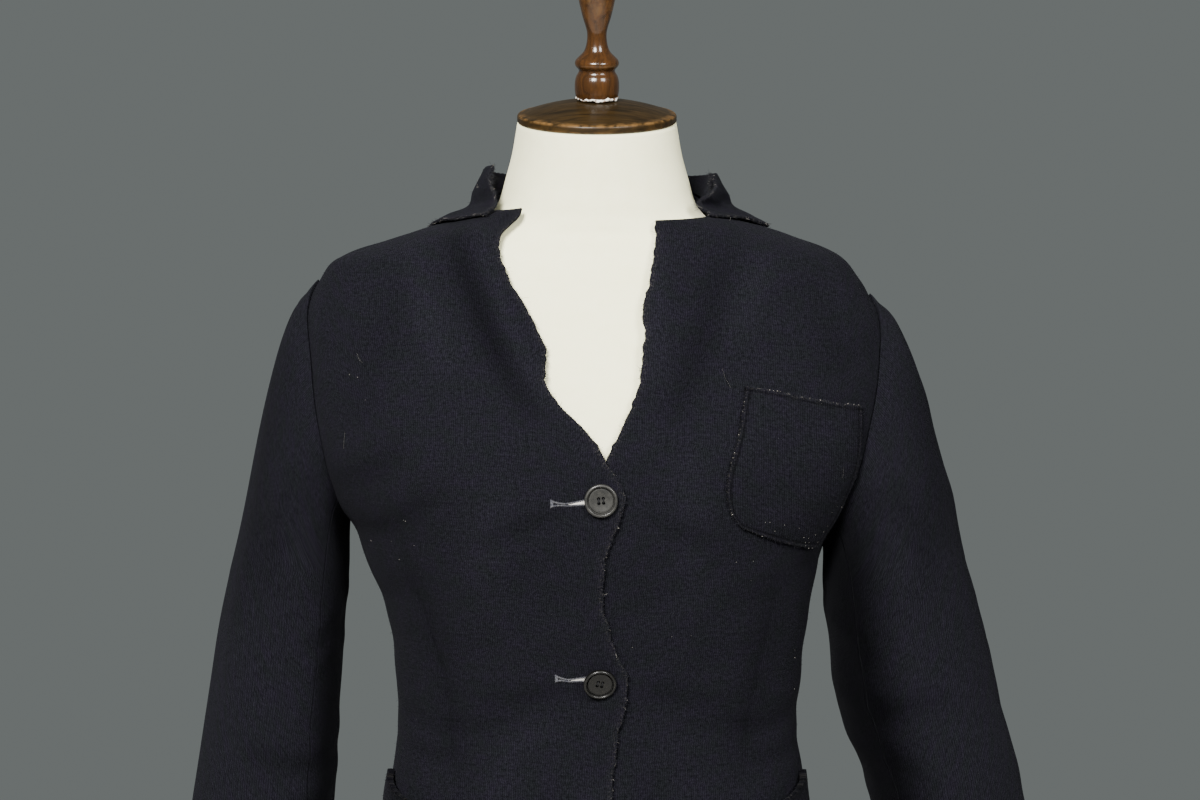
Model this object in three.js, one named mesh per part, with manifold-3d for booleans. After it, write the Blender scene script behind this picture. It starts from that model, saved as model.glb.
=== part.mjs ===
// Single-breasted knit blazer with raw edges, worn by a limbless dress form on a short round stand.
// Millimetres, +Z up, +X towards the wearer's left, -Y towards the front.
// The origin is the centre of the stand's underside, on the surface that it stands on.
import * as THREE from 'three';
import Module from 'manifold-3d';

const wasm = await Module();
wasm.setup();

// Cloth and seams
const WALL = 2.6;
const SEAM_GAP = 0.3;
const LAYER_GAP = 0.85;
const OVERLAP_LIFT = WALL + LAYER_GAP;
const PATCH_LIFT = WALL + LAYER_GAP;

// Heights of the blazer
const HEM_Z = 226;
const LAPEL_TOP_Z = { right: 816, left: 809 };
const LAPEL_TIP_X = { right: 52, left: 42 };
// Where the right front starts to rise over the left one, and how far it takes to do so
const OVERLAP_RISE = { x: -62, run: 34 };
// Share of a panel's top that runs along the neck, before its shoulder seam
const NECK_SHARE = { front: 0.26, back: 0.42 };
const SIDE_NECK_Z = 815;
const BACK_NECK_Z = 836;
const UNDERARM_Z = { right: 597, left: 578 };
const SHOULDER_TIP_Z = { right: 765, left: 755 };
const SHOULDER_SEAM_DEPTH = 3;
const SIDE_SEAM_DEPTH = 6;

// Bust swell on the front, added to the sections
const BUST = { x: 84, z: 640, out: 6, wide: 46, tall: 52 };

// The blazer's outer surface, a row for each level: half widths on the wearer's right and left,
// depth to the front and back, and how square the section is (2 is an ellipse)
const BODY = [
  { z: 226, right: 178, left: 178, front: 112, back: 119, square: 2.3 },
  { z: 300, right: 169, left: 170, front: 107, back: 112, square: 2.3 },
  { z: 345, right: 160, left: 161, front: 101, back: 102, square: 2.3 },
  { z: 390, right: 151, left: 152, front: 95, back: 90, square: 2.3 },
  { z: 416, right: 147, left: 148, front: 91, back: 82, square: 2.3 },
  { z: 443, right: 144, left: 143.5, front: 90, back: 78, square: 2.3 },
  { z: 478, right: 144.5, left: 146.5, front: 93, back: 81, square: 2.3 },
  { z: 510, right: 148, left: 149.5, front: 99, back: 86, square: 2.35 },
  { z: 540, right: 155, left: 154.5, front: 105, back: 92, square: 2.4 },
  { z: 564, right: 165, left: 160, front: 110, back: 97, square: 2.4 },
  { z: 584, right: 173, left: 168, front: 114, back: 101, square: 2.4 },
  { z: 604, right: 184, left: 180, front: 116, back: 105, square: 2.4 },
  { z: 630, right: 199, left: 195, front: 116, back: 109, square: 2.4 },
  { z: 655, right: 208, left: 203, front: 112, back: 111, square: 2.4 },
  { z: 688, right: 215, left: 210, front: 101, back: 111, square: 2.4 },
  { z: 715, right: 215, left: 209, front: 92, back: 109, square: 2.4 },
  { z: 740, right: 211, left: 203, front: 85, back: 104, square: 2.4 },
  { z: 757, right: 204, left: 194, front: 80, back: 100, square: 2.4 },
  { z: 768, right: 197, left: 187, front: 77, back: 96, square: 2.4 },
  { z: 781, right: 187, left: 178, front: 74, back: 91, square: 2.35 },
  { z: 790, right: 166, left: 163, front: 72, back: 86, square: 2.3 },
  { z: 798, right: 142, left: 140, front: 70, back: 81, square: 2.25 },
  { z: 805, right: 116, left: 119, front: 68, back: 77, square: 2.2 },
  { z: 811, right: 96, left: 98, front: 67, back: 73, square: 2.2 },
  { z: 816, right: 84, left: 84, front: 66, back: 70, square: 2.2 },
  { z: 824, right: 79, left: 79, front: 65, back: 65, square: 2.2 },
  { z: 840, right: 75, left: 75, front: 64, back: 60, square: 2.2 },
];

// Where the overlapping (right) front's raw edge runs, from the hem to the tip of the lapel
const OVER_EDGE = [
  { z: 226, x: 12 }, { z: 400, x: 10 }, { z: 450, x: 14 }, { z: 491, x: 21 }, { z: 518, x: 11 },
  { z: 550, x: 4 }, { z: 582, x: 7 }, { z: 619, x: 19 }, { z: 644, x: 6 }, { z: 663, x: -7 },
  { z: 690, x: -33 }, { z: 721, x: -36 }, { z: 742, x: -46 }, { z: 770, x: -62 }, { z: 788, x: -68 },
  { z: 802, x: -64 }, { z: 811, x: -54 }, { z: 816, x: -52 },
];

// Where the under (left) front's raw edge runs; below the V it is hidden
const UNDER_EDGE = [
  { z: 226, x: -16 }, { z: 600, x: -16 }, { z: 626, x: -8 }, { z: 644, x: 6 }, { z: 673, x: 20 },
  { z: 691, x: 28 }, { z: 727, x: 33 }, { z: 745, x: 32 }, { z: 778, x: 39 }, { z: 809, x: 42 },
];

// The armhole, from the underarm point up to the shoulder tip: share of its height, and depth
const ARMHOLE_FRONT = [
  { rise: 0, depth: 6 }, { rise: 0.02, depth: -9 }, { rise: 0.06, depth: -26 }, { rise: 0.15, depth: -42 },
  { rise: 0.3, depth: -50 }, { rise: 0.48, depth: -49 }, { rise: 0.66, depth: -43 },
  { rise: 0.82, depth: -31 }, { rise: 0.94, depth: -15 }, { rise: 1, depth: 3 },
];
const ARMHOLE_BACK = [
  { rise: 0, depth: 6 }, { rise: 0.02, depth: 22 }, { rise: 0.08, depth: 38 }, { rise: 0.2, depth: 52 },
  { rise: 0.38, depth: 58 }, { rise: 0.58, depth: 56 }, { rise: 0.76, depth: 46 },
  { rise: 0.91, depth: 26 }, { rise: 1, depth: 3 },
];

// Sleeves below the underarm: inner and outer side, and the middle and half of the depth
const SLEEVES = {
  right: [
    { z: 558, inner: 182, outer: 262, middle: 2, half: 58 },
    { z: 520, inner: 185, outer: 270, middle: 0, half: 55 },
    { z: 484, inner: 187, outer: 276, middle: -2, half: 53 },
    { z: 446, inner: 190, outer: 282, middle: -4, half: 52 },
    { z: 400, inner: 192, outer: 288, middle: -8, half: 50 },
    { z: 340, inner: 197, outer: 296, middle: -13, half: 48 },
    { z: 270, inner: 204, outer: 303, middle: -20, half: 46 },
    { z: 172, inner: 214, outer: 310, middle: -30, half: 43 },
  ],
  left: [
    { z: 545, inner: 166, outer: 269, middle: 2, half: 58 },
    { z: 517, inner: 169, outer: 277, middle: 0, half: 55 },
    { z: 484, inner: 172, outer: 285, middle: -2, half: 54 },
    { z: 450, inner: 181, outer: 293, middle: -4, half: 52 },
    { z: 400, inner: 198, outer: 305, middle: -8, half: 50 },
    { z: 340, inner: 212, outer: 316, middle: -13, half: 48 },
    { z: 270, inner: 226, outer: 327, middle: -20, half: 46 },
    { z: 172, inner: 241, outer: 339, middle: -30, half: 43 },
  ],
};
const SLEEVE_SQUARE = 2.2;
// How a sleeve leaves the armhole at the shoulder's top and under the arm, and how it arrives below
const SLEEVE_HEAD = {
  outTop: 24, outUnder: 3, swell: 6, dropTop: 15, dropUnder: 9,
  riseTop: 140, riseUnder: 12, backTop: 0.235, backUnder: 0.08,
};
// Where a sleeve's two seams run, as shares of the way round from the shoulder tip down the front
const SLEEVE_SEAMS = { front: 0.36, back: 0.68 };

// Collar, a row for each turn from the front, in degrees: heights of its seam, of its roll and of
// the middle and edge of its fall, the turns that these lie at, and how far the middle stands off
const COLLAR = [
  {
    turn: 70, rollTurn: 65, fallTurn: 57, edgeTurn: 50,
    seam: 816, roll: 848, mid: 824, lift: 6, edge: 810,
  },
  {
    turn: 88, rollTurn: 86, fallTurn: 82, edgeTurn: 84,
    seam: 819.5, roll: 847, mid: 814, lift: 7, edge: 805,
  },
  {
    turn: 122, rollTurn: 122, fallTurn: 122, edgeTurn: 122,
    seam: 830, roll: 844, mid: 815, lift: 8, edge: 801,
  },
  {
    turn: 150, rollTurn: 150, fallTurn: 150, edgeTurn: 150,
    seam: 835, roll: 843, mid: 818, lift: 8, edge: 797,
  },
  {
    turn: 180, rollTurn: 180, fallTurn: 180, edgeTurn: 180,
    seam: 837, roll: 842, mid: 820, lift: 8, edge: 795,
  },
];
// The collar is cut to stand from the section at this level
const COLLAR_ROLL_LEVEL = 822;
// How far each front end of the collar leans outwards and sinks
const COLLAR_LEAN = { right: { out: 0, drop: 0 }, left: { out: 8, drop: 6 } };
// Shape of its fold: how the stand leans in, how the fold stands out and sinks, how the fall lies
const COLLAR_FOLD = {
  standIn: 1, standHigh: 0.75, out: 7, drop: 5, lowShare: 0.6, lowLift: 1.6, edgeLift: 0.5,
};

// Patch pockets, on the surface of the fronts
const CHEST_POCKET = {
  columns: 8,
  rows: 8,
  inner: [{ z: 600, x: 97 }, { z: 612, x: 90 }, { z: 630, x: 88 }, { z: 665, x: 97 }, { z: 694, x: 102 }],
  outer: [{ z: 580, x: 155 }, { z: 610, x: 171 }, { z: 640, x: 181 }, { z: 679, x: 184 }],
  sag: 5,
  gape: 0,
};
const HIP_POCKET = {
  columns: 9,
  rows: 8,
  inner: [{ z: 275, x: 66 }, { z: 300, x: 62 }, { z: 390, x: 60 }],
  outer: [{ z: 275, x: 158 }, { z: 300, x: 164 }, { z: 350, x: 156 }, { z: 416, x: 144 }],
  sag: 12,
  gape: 4,
};

// Buttons
const BUTTON = { radius: 11.45, thick: 4, rim: 1.9, dish: 1.3, holeRadius: 1, holePitch: 3.2, gap: 0.7 };
const BUTTONS = [{ name: 'button_1', x: 3, z: 618 }, { name: 'button_2', x: 2, z: 492 }];

// Dress form: half width, depth to the front and back, forward lean and squareness
const FORM = [
  { z: 150, half: 158, front: 98, back: 106, lean: 0, square: 2.3 },
  { z: 226, half: 165, front: 100, back: 107, lean: 0, square: 2.3 },
  { z: 300, half: 157, front: 96, back: 100, lean: 0, square: 2.3 },
  { z: 390, half: 141, front: 85, back: 79, lean: 0, square: 2.3 },
  { z: 443, half: 134, front: 80, back: 68, lean: 0, square: 2.3 },
  { z: 500, half: 137, front: 88, back: 75, lean: 0, square: 2.3 },
  { z: 564, half: 150, front: 101, back: 87, lean: 0, square: 2.35 },
  { z: 604, half: 165, front: 108, back: 95, lean: 0, square: 2.4 },
  { z: 640, half: 176, front: 108, back: 101, lean: 0, square: 2.4 },
  { z: 690, half: 184, front: 94, back: 104, lean: 0, square: 2.4 },
  { z: 730, half: 186, front: 82, back: 99, lean: 0, square: 2.4 },
  { z: 757, half: 182, front: 74, back: 92, lean: 0, square: 2.4 },
  { z: 768, half: 176, front: 71, back: 88, lean: 0, square: 2.35 },
  { z: 776.7, half: 170, front: 68.5, back: 86.5, lean: 0, square: 2.3 },
  { z: 784.7, half: 157, front: 66, back: 82, lean: 0, square: 2.25 },
  { z: 792.7, half: 135, front: 64, back: 77, lean: 0, square: 2.2 },
  { z: 799.7, half: 111, front: 62, back: 72, lean: 0, square: 2.15 },
  { z: 805, half: 91, front: 61, back: 66, lean: -1, square: 2.1 },
  { z: 812, half: 78, front: 60, back: 63, lean: -2, square: 2.1 },
  { z: 822, half: 70.5, front: 59, back: 58, lean: -4, square: 2.1 },
  { z: 838, half: 65.5, front: 57, back: 54, lean: -7, square: 2.05 },
  { z: 856, half: 60.5, front: 55, back: 53, lean: -11, square: 2 },
  { z: 878.5, half: 56.5, front: 54, back: 54, lean: -14, square: 2 },
];
const NECK_TILT = THREE.MathUtils.degToRad(11.6);
const NECK_TILT_FROM_Z = 800;

// Turned cap on the neck, and the finial on its dome: heights above the dome's top, and radii
const CAP = { radius: 56.7, rim: 6, dome: 10, edge: 1.5, domeReach: 54.7, domeSteps: 7 };
const FINIAL = [
  { up: 0, r: 13.2 }, { up: 0.8, r: 14 }, { up: 2.2, r: 14.9 }, { up: 5, r: 15.7 }, { up: 10, r: 16 },
  { up: 14.5, r: 15.5 }, { up: 17.3, r: 14.5 }, { up: 19, r: 13.6 }, { up: 21, r: 14.7 },
  { up: 24.6, r: 16 }, { up: 27.6, r: 14.9 }, { up: 30.4, r: 13.2 }, { up: 33, r: 11 }, { up: 36, r: 9.1 },
  { up: 39.5, r: 7.6 }, { up: 43.5, r: 6.9 }, { up: 47.5, r: 6.9 }, { up: 51, r: 7.8 }, { up: 57, r: 9.7 },
  { up: 64, r: 11.5 }, { up: 71, r: 13 }, { up: 80, r: 14.2 }, { up: 89, r: 13.6 }, { up: 96, r: 11 },
  { up: 101, r: 7 }, { up: 103.6, r: 3.5 }, { up: 104.5, r: 0 },
];

// Stand
const STAND = { baseRadius: 165, baseThick: 20, poleRadius: 13, plateRadius: 86, plateThick: 12 };
const PLATE_EDGE = { under: 4, over: 1 };
// Outline of the base from its underside up, in from its full radius
const BASE_EDGE = [
  { inward: 2, z: 0 }, { inward: 0, z: 2 }, { inward: 0, z: 9 }, { inward: 3, z: 12 }, { inward: 14, z: 14 },
  { inward: 99, z: 18.5 }, { inward: 140, z: 20 },
];
const PART_GAP = 0.3;

// Grid sizes
const ROWS_BELOW = 9;
const ROWS_ABOVE = 11;
const FRONT_COLUMNS = 12;
const BACK_COLUMNS = 9;
const SLEEVE_HEAD_ROWS = 6;
const SLEEVE_ROWS = 8;
const COLLAR_COLUMNS = 22;
const COLLAR_ROWS = 9;

const clothMaterial = new THREE.MeshStandardMaterial({ color: 0x20212a, roughness: 0.95, metalness: 0 });
const buttonMaterial = new THREE.MeshStandardMaterial({ color: 0x17181b, roughness: 0.35, metalness: 0 });
const jerseyMaterial = new THREE.MeshStandardMaterial({ color: 0xe9e6da, roughness: 0.85, metalness: 0 });
const woodMaterial = new THREE.MeshStandardMaterial({ color: 0x5a2f17, roughness: 0.3, metalness: 0 });
const steelMaterial = new THREE.MeshStandardMaterial({ color: 0x8c8f92, roughness: 0.35, metalness: 1 });

const SIDES = { right: -1, left: 1 };
const mix = (a, b, t) => a + (b - a) * t;
const smooth = (t) => t * t * (3 - 2 * t);
const clamp01 = (t) => Math.min(1, Math.max(0, t));

// A smooth curve through the rows of a table: the value of one column at a place along another
function along(rows, keyColumn, column, key) {
  const last = rows.length - 1;
  if (key <= rows[0][keyColumn]) return rows[0][column];
  if (key >= rows[last][keyColumn]) return rows[last][column];
  let i = 0;
  while (key > rows[i + 1][keyColumn]) i += 1;
  const slope = (k) => {
    const a = rows[Math.max(0, k - 1)];
    const b = rows[Math.min(last, k + 1)];
    return (b[column] - a[column]) / (b[keyColumn] - a[keyColumn]);
  };
  const step = rows[i + 1][keyColumn] - rows[i][keyColumn];
  const t = (key - rows[i][keyColumn]) / step;
  const start = rows[i][column];
  const end = rows[i + 1][column];
  const a = slope(i) * step;
  const b = slope(i + 1) * step;
  return start + t * (a + t * (3 * (end - start) - 2 * a - b + t * (a + b - 2 * (end - start))));
}

// A table's rows taken as evenly spaced stops from 0 to 1
function alongStops(rows, column, t) {
  const stops = rows.map((row, index) => ({ at: index / (rows.length - 1), value: row[column] }));
  return along(stops, 'at', 'value', t);
}

const body = (column, z) => along(BODY, 'z', column, z);
const halfWidth = (side, z) => body(side > 0 ? 'left' : 'right', z);
const sideName = (side) => (side > 0 ? 'left' : 'right');

// Turn round the section from the front middle (0) by the side (a quarter) to the back (a half turn)
function turnAtX(x, z) {
  const reach = clamp01(Math.abs(x) / halfWidth(Math.sign(x) || 1, z));
  return Math.sign(x) * Math.asin(reach ** (body('square', z) / 2));
}
function turnAtDepth(depth, z) {
  const reach = clamp01(Math.abs(depth) / body(depth < 0 ? 'front' : 'back', z));
  const angle = Math.acos(reach ** (body('square', z) / 2));
  return depth < 0 ? angle : Math.PI - angle;
}

// A point of the blazer's outer surface
function bodyPoint(turn, z) {
  const side = Math.sin(turn) < 0 ? -1 : 1;
  const power = 2 / body('square', z);
  const x = side * halfWidth(side, z) * Math.abs(Math.sin(turn)) ** power;
  const forward = Math.cos(turn) > 0;
  const reach = Math.abs(Math.cos(turn)) ** power;
  let y = forward ? -body('front', z) * reach : body('back', z) * reach;
  if (forward) {
    const across = (Math.abs(x) - BUST.x) / BUST.wide;
    const up = (z - BUST.z) / BUST.tall;
    y -= BUST.out * Math.exp(-across * across - up * up);
  }
  return new THREE.Vector3(x, y, z);
}
function bodyNormal(turn, z) {
  const around = bodyPoint(turn + 0.01, z).sub(bodyPoint(turn - 0.01, z));
  const up = bodyPoint(turn, z + 0.5).sub(bodyPoint(turn, z - 0.5));
  return around.cross(up).normalize();
}
const liftedPoint = (turn, z, lift) => bodyPoint(turn, z).addScaledVector(bodyNormal(turn, z), lift);

// Outward normal of a grid of points at one of them
function gridNormal(grid, r, c, flip) {
  const across = grid[r][Math.min(grid[r].length - 1, c + 1)].clone().sub(grid[r][Math.max(0, c - 1)]);
  const up = grid[Math.min(grid.length - 1, r + 1)][c].clone().sub(grid[Math.max(0, r - 1)][c]);
  const normal = across.cross(up).normalize();
  return flip ? normal.negate() : normal;
}

// A closed wall from a grid of points on its outer side, with each point's normal where it is known
function wallGeometry(grid, wall, flip = false, normals = null) {
  const rows = grid.length;
  const columns = grid[0].length;
  const inner = grid.map((row, r) => row.map((point, c) => {
    const normal = (normals && normals[r] && normals[r][c]) || gridNormal(grid, r, c, flip);
    return point.clone().addScaledVector(normal, -wall);
  }));
  const positions = [];
  [grid, inner].forEach((layer) => layer.forEach((row) => row.forEach((p) => positions.push(p.x, p.y, p.z))));
  const outerAt = (r, c) => r * columns + c;
  const innerAt = (r, c) => rows * columns + r * columns + c;
  const index = [];
  const quad = (a, b, c, d) => index.push(a, b, c, a, c, d);
  for (let r = 0; r < rows - 1; r += 1) {
    for (let c = 0; c < columns - 1; c += 1) {
      quad(outerAt(r, c), outerAt(r, c + 1), outerAt(r + 1, c + 1), outerAt(r + 1, c));
      quad(innerAt(r, c), innerAt(r + 1, c), innerAt(r + 1, c + 1), innerAt(r, c + 1));
    }
  }
  for (let c = 0; c < columns - 1; c += 1) {
    quad(outerAt(0, c + 1), outerAt(0, c), innerAt(0, c), innerAt(0, c + 1));
    quad(outerAt(rows - 1, c), outerAt(rows - 1, c + 1), innerAt(rows - 1, c + 1), innerAt(rows - 1, c));
  }
  const end = columns - 1;
  for (let r = 0; r < rows - 1; r += 1) {
    quad(outerAt(r, 0), outerAt(r + 1, 0), innerAt(r + 1, 0), innerAt(r, 0));
    quad(outerAt(r + 1, end), outerAt(r, end), innerAt(r, end), innerAt(r + 1, end));
  }
  return facingOut(positions, index);
}

// Turns the faces the other way where the solid's volume comes out negative
function facingOut(positions, index) {
  let volume = 0;
  const at = (i) => new THREE.Vector3().fromArray(positions, i * 3);
  for (let i = 0; i < index.length; i += 3) {
    volume += at(index[i]).dot(at(index[i + 1]).cross(at(index[i + 2])));
  }
  if (volume < 0) {
    for (let i = 0; i < index.length; i += 3) [index[i + 1], index[i + 2]] = [index[i + 2], index[i + 1]];
  }
  const geometry = new THREE.BufferGeometry();
  geometry.setAttribute('position', new THREE.Float32BufferAttribute(positions, 3));
  geometry.setIndex(index);
  geometry.computeVertexNormals();
  return geometry;
}

const blazer = new THREE.Group();
function addPiece(name, geometry, material) {
  const mesh = new THREE.Mesh(geometry, material);
  mesh.name = name;
  blazer.add(mesh);
  return mesh;
}

// Height on the shoulder's ridge where the blazer is this wide
function ridgeHeight(side, x) {
  let low = SHOULDER_TIP_Z[sideName(side)];
  let high = SIDE_NECK_Z;
  for (let i = 0; i < 30; i += 1) {
    const middle = (low + high) / 2;
    if (halfWidth(side, middle) > x) low = middle;
    else high = middle;
  }
  return (low + high) / 2;
}

// Places on the pattern are {turn, z}; turn grows from the middle of the panel to its side
const place = (turn, z) => ({ turn, z });

// A patch filled in between its four sides; its rows stay level low down
function fillPatch(inner, outer, bottom, top) {
  const p00 = bottom(0);
  const p10 = bottom(1);
  const p01 = top(0);
  const p11 = top(1);
  return (u, v) => {
    const w = v * v;
    const part = (key) => mix(inner(v)[key], outer(v)[key], u) + mix(bottom(u)[key], top(u)[key], w)
      - mix(mix(p00[key], p10[key], u), mix(p01[key], p11[key], u), w);
    return place(part('turn'), part('z'));
  };
}

// Row levels shared by the fronts and backs: level up to the underarm, then up the armhole
const SPLIT_V = ROWS_BELOW / (ROWS_BELOW + ROWS_ABOVE);
function levelUpEdge(v, topZ) {
  const under = (UNDERARM_Z.right + UNDERARM_Z.left) / 2;
  return v < SPLIT_V ? mix(HEM_Z, under, v / SPLIT_V) : mix(under, topZ, (v - SPLIT_V) / (1 - SPLIT_V));
}
function armholePlace(side, table, t) {
  const name = sideName(side);
  const z = mix(UNDERARM_Z[name], SHOULDER_TIP_Z[name], alongStops(table, 'rise', t));
  return place(turnAtDepth(alongStops(table, 'depth', t), z), z);
}
function sideOfPanel(side, table, seamShift) {
  return (v) => {
    if (v < SPLIT_V) {
      const z = mix(HEM_Z, UNDERARM_Z[sideName(side)], v / SPLIT_V);
      return place(turnAtDepth(SIDE_SEAM_DEPTH + seamShift, z), z);
    }
    const t = (v - SPLIT_V) / (1 - SPLIT_V);
    const at = armholePlace(side, table, t);
    const depth = alongStops(table, 'depth', t);
    const end = Math.max(0, 1 - Math.min(t, 1 - t) * ROWS_ABOVE);
    return place(turnAtDepth(depth + seamShift * end, at.z), at.z);
  };
}

// Front panel: raw front edge, hem, side seam and armhole, then lapel top and shoulder seam
function frontPattern(side) {
  const name = sideName(side);
  const table = side > 0 ? UNDER_EDGE : OVER_EDGE;
  const topZ = LAPEL_TOP_Z[name];
  const neckShare = NECK_SHARE.front;
  const shift = -SEAM_GAP / 2;
  const edge = (v) => {
    const z = levelUpEdge(v, topZ);
    return place(side * turnAtX(along(table, 'z', 'x', z), z), z);
  };
  const armSide = sideOfPanel(side, ARMHOLE_FRONT, shift);
  const top = (u) => {
    if (u < neckShare) {
      const t = u / neckShare;
      const z = mix(topZ, SIDE_NECK_Z, smooth(t));
      const start = side * turnAtX(side * LAPEL_TIP_X[name], topZ);
      return place(mix(start, turnAtDepth(SHOULDER_SEAM_DEPTH + shift, SIDE_NECK_Z), t), z);
    }
    const t = (u - neckShare) / (1 - neckShare);
    const neckX = halfWidth(side, SIDE_NECK_Z);
    const tipX = halfWidth(side, SHOULDER_TIP_Z[name]);
    const z = t === 1 ? SHOULDER_TIP_Z[name] : ridgeHeight(side, mix(neckX, tipX, t));
    return place(turnAtDepth(SHOULDER_SEAM_DEPTH + shift, z), z);
  };
  const hem = (u) => place(mix(edge(0).turn, armSide(0).turn, u), HEM_Z);
  return fillPatch(edge, armSide, hem, top);
}

// How far the right front stands off to pass over the left one
function overlapLift(side, x) {
  return side > 0 ? 0 : OVERLAP_LIFT * smooth(clamp01((x - OVERLAP_RISE.x) / OVERLAP_RISE.run));
}

function frontPanel(side) {
  return panelOf(side, frontPattern(side), FRONT_COLUMNS, (point) => overlapLift(side, point.x));
}

// A panel's grid of points and normals on the blazer's surface, and its wall
function panelOf(side, pattern, columns, liftAt) {
  const rows = ROWS_BELOW + ROWS_ABOVE;
  const grid = [];
  const normals = [];
  for (let r = 0; r <= rows; r += 1) {
    grid.push([]);
    normals.push([]);
    for (let c = 0; c <= columns; c += 1) {
      const at = pattern(c / columns, r / rows);
      const point = bodyPoint(side * at.turn, at.z);
      const normal = bodyNormal(side * at.turn, at.z);
      grid[r].push(point.clone().addScaledVector(normal, liftAt(point)));
      normals[r].push(normal);
    }
  }
  return { grid, normals, geometry: wallGeometry(grid, WALL, false, normals) };
}

// Back panel: centre back seam, hem, side seam and armhole, then back neck and shoulder seam
function backPattern(side) {
  const name = sideName(side);
  const neckShare = NECK_SHARE.back;
  const shift = SEAM_GAP / 2;
  const middleTurn = (z) => Math.PI - Math.asin((shift / halfWidth(side, z)) ** (body('square', z) / 2));
  const middle = (v) => {
    const z = levelUpEdge(v, BACK_NECK_Z);
    return place(middleTurn(z), z);
  };
  const armSide = sideOfPanel(side, ARMHOLE_BACK, shift);
  const top = (u) => {
    if (u < neckShare) {
      const t = u / neckShare;
      const z = mix(BACK_NECK_Z, SIDE_NECK_Z, t * t * t);
      return place(mix(middleTurn(BACK_NECK_Z), turnAtDepth(SHOULDER_SEAM_DEPTH + shift, SIDE_NECK_Z), t), z);
    }
    const t = (u - neckShare) / (1 - neckShare);
    const neckX = halfWidth(side, SIDE_NECK_Z);
    const tipX = halfWidth(side, SHOULDER_TIP_Z[name]);
    const z = t === 1 ? SHOULDER_TIP_Z[name] : ridgeHeight(side, mix(neckX, tipX, t));
    return place(turnAtDepth(SHOULDER_SEAM_DEPTH + shift, z), z);
  };
  const hem = (u) => place(mix(middle(0).turn, armSide(0).turn, u), HEM_Z);
  return fillPatch(middle, armSide, hem, top);
}

function backPanel(side) {
  return panelOf(side, backPattern(side), BACK_COLUMNS, () => 0);
}

// Sleeve: from the armhole's own points out over the head and down the arm to the open cuff.
// The loop starts at the shoulder tip and runs down the front and up the back.
function sleeveGrid(side, front, back) {
  const table = SLEEVES[sideName(side)];
  const loop = [];
  const seamNormals = [];
  const take = (panel, r, c) => {
    loop.push(panel.grid[r][c]);
    seamNormals.push(panel.normals[r][c]);
  };
  for (let r = ROWS_BELOW + ROWS_ABOVE; r > ROWS_BELOW; r -= 1) take(front, r, FRONT_COLUMNS);
  for (let r = ROWS_BELOW; r <= ROWS_BELOW + ROWS_ABOVE; r += 1) take(back, r, BACK_COLUMNS);
  const count = loop.length - 1;
  const level = (column, z) => along([...table].reverse(), 'z', column, z);
  const ring = (angle, z) => {
    const power = 2 / SLEEVE_SQUARE;
    const c = Math.cos(angle);
    const s = Math.sin(angle);
    const centre = (level('inner', z) + level('outer', z)) / 2;
    const half = (level('outer', z) - level('inner', z)) / 2;
    const x = side * (centre + half * Math.sign(c) * Math.abs(c) ** power);
    const y = level('middle', z) - level('half', z) * Math.sign(s) * Math.abs(s) ** power;
    return new THREE.Vector3(x, y, z);
  };
  const topZ = table[0].z;
  const cuffZ = table[table.length - 1].z;
  const columns = loop.map((start, index) => {
    const angle = (2 * Math.PI * index) / count;
    const high = (1 + Math.cos(angle)) / 2;
    const end = ring(angle, topZ);
    const head = SLEEVE_HEAD;
    const out = mix(head.outUnder, head.outTop, high);
    const drop = mix(head.dropUnder, head.dropTop, high);
    const leave = new THREE.Vector3(side * out, -Math.sin(angle) * head.swell, -drop);
    const rise = mix(head.riseUnder, head.riseTop, high ** 1.5);
    const aside = new THREE.Vector3(leave.x + side * head.outTop / 3, leave.y, leave.z / 2).normalize();
    const begin = start.clone().addScaledVector(aside, SEAM_GAP + 0.05);
    const arrive = new THREE.Vector3(-side * rise * mix(head.backUnder, head.backTop, high), 0, rise);
    const curve = new THREE.CubicBezierCurve3(begin, begin.clone().add(leave), end.clone().add(arrive), end);
    const points = [];
    for (let k = 0; k < SLEEVE_HEAD_ROWS; k += 1) points.push(curve.getPoint(k / SLEEVE_HEAD_ROWS));
    for (let k = 0; k <= SLEEVE_ROWS; k += 1) points.push(ring(angle, mix(topZ, cuffZ, k / SLEEVE_ROWS)));
    return points;
  });
  return { columns, count, seamNormals };
}

// Outward normals all round a sleeve. Where it turns down over a ridge from the body, its first
// edge takes the body's normal, so that the two cut edges lie face to face.
function sleeveNormals(columns, seamNormals, flip) {
  const count = columns.length - 1;
  return columns.map((column, i) => column.map((point, r) => {
    const ahead = columns[(i + 1) % count][r];
    const behind = columns[(i + count - 1) % count][r];
    const down = column[Math.min(column.length - 1, r + 1)].clone().sub(column[Math.max(0, r - 1)]);
    const own = ahead.clone().sub(behind).cross(down).normalize();
    if (flip) own.negate();
    if (r > 0) return own;
    const leaving = column[1].clone().sub(point).normalize();
    return own.clone().sub(seamNormals[i]).dot(leaving) > 0 ? seamNormals[i] : own;
  }));
}

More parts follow.
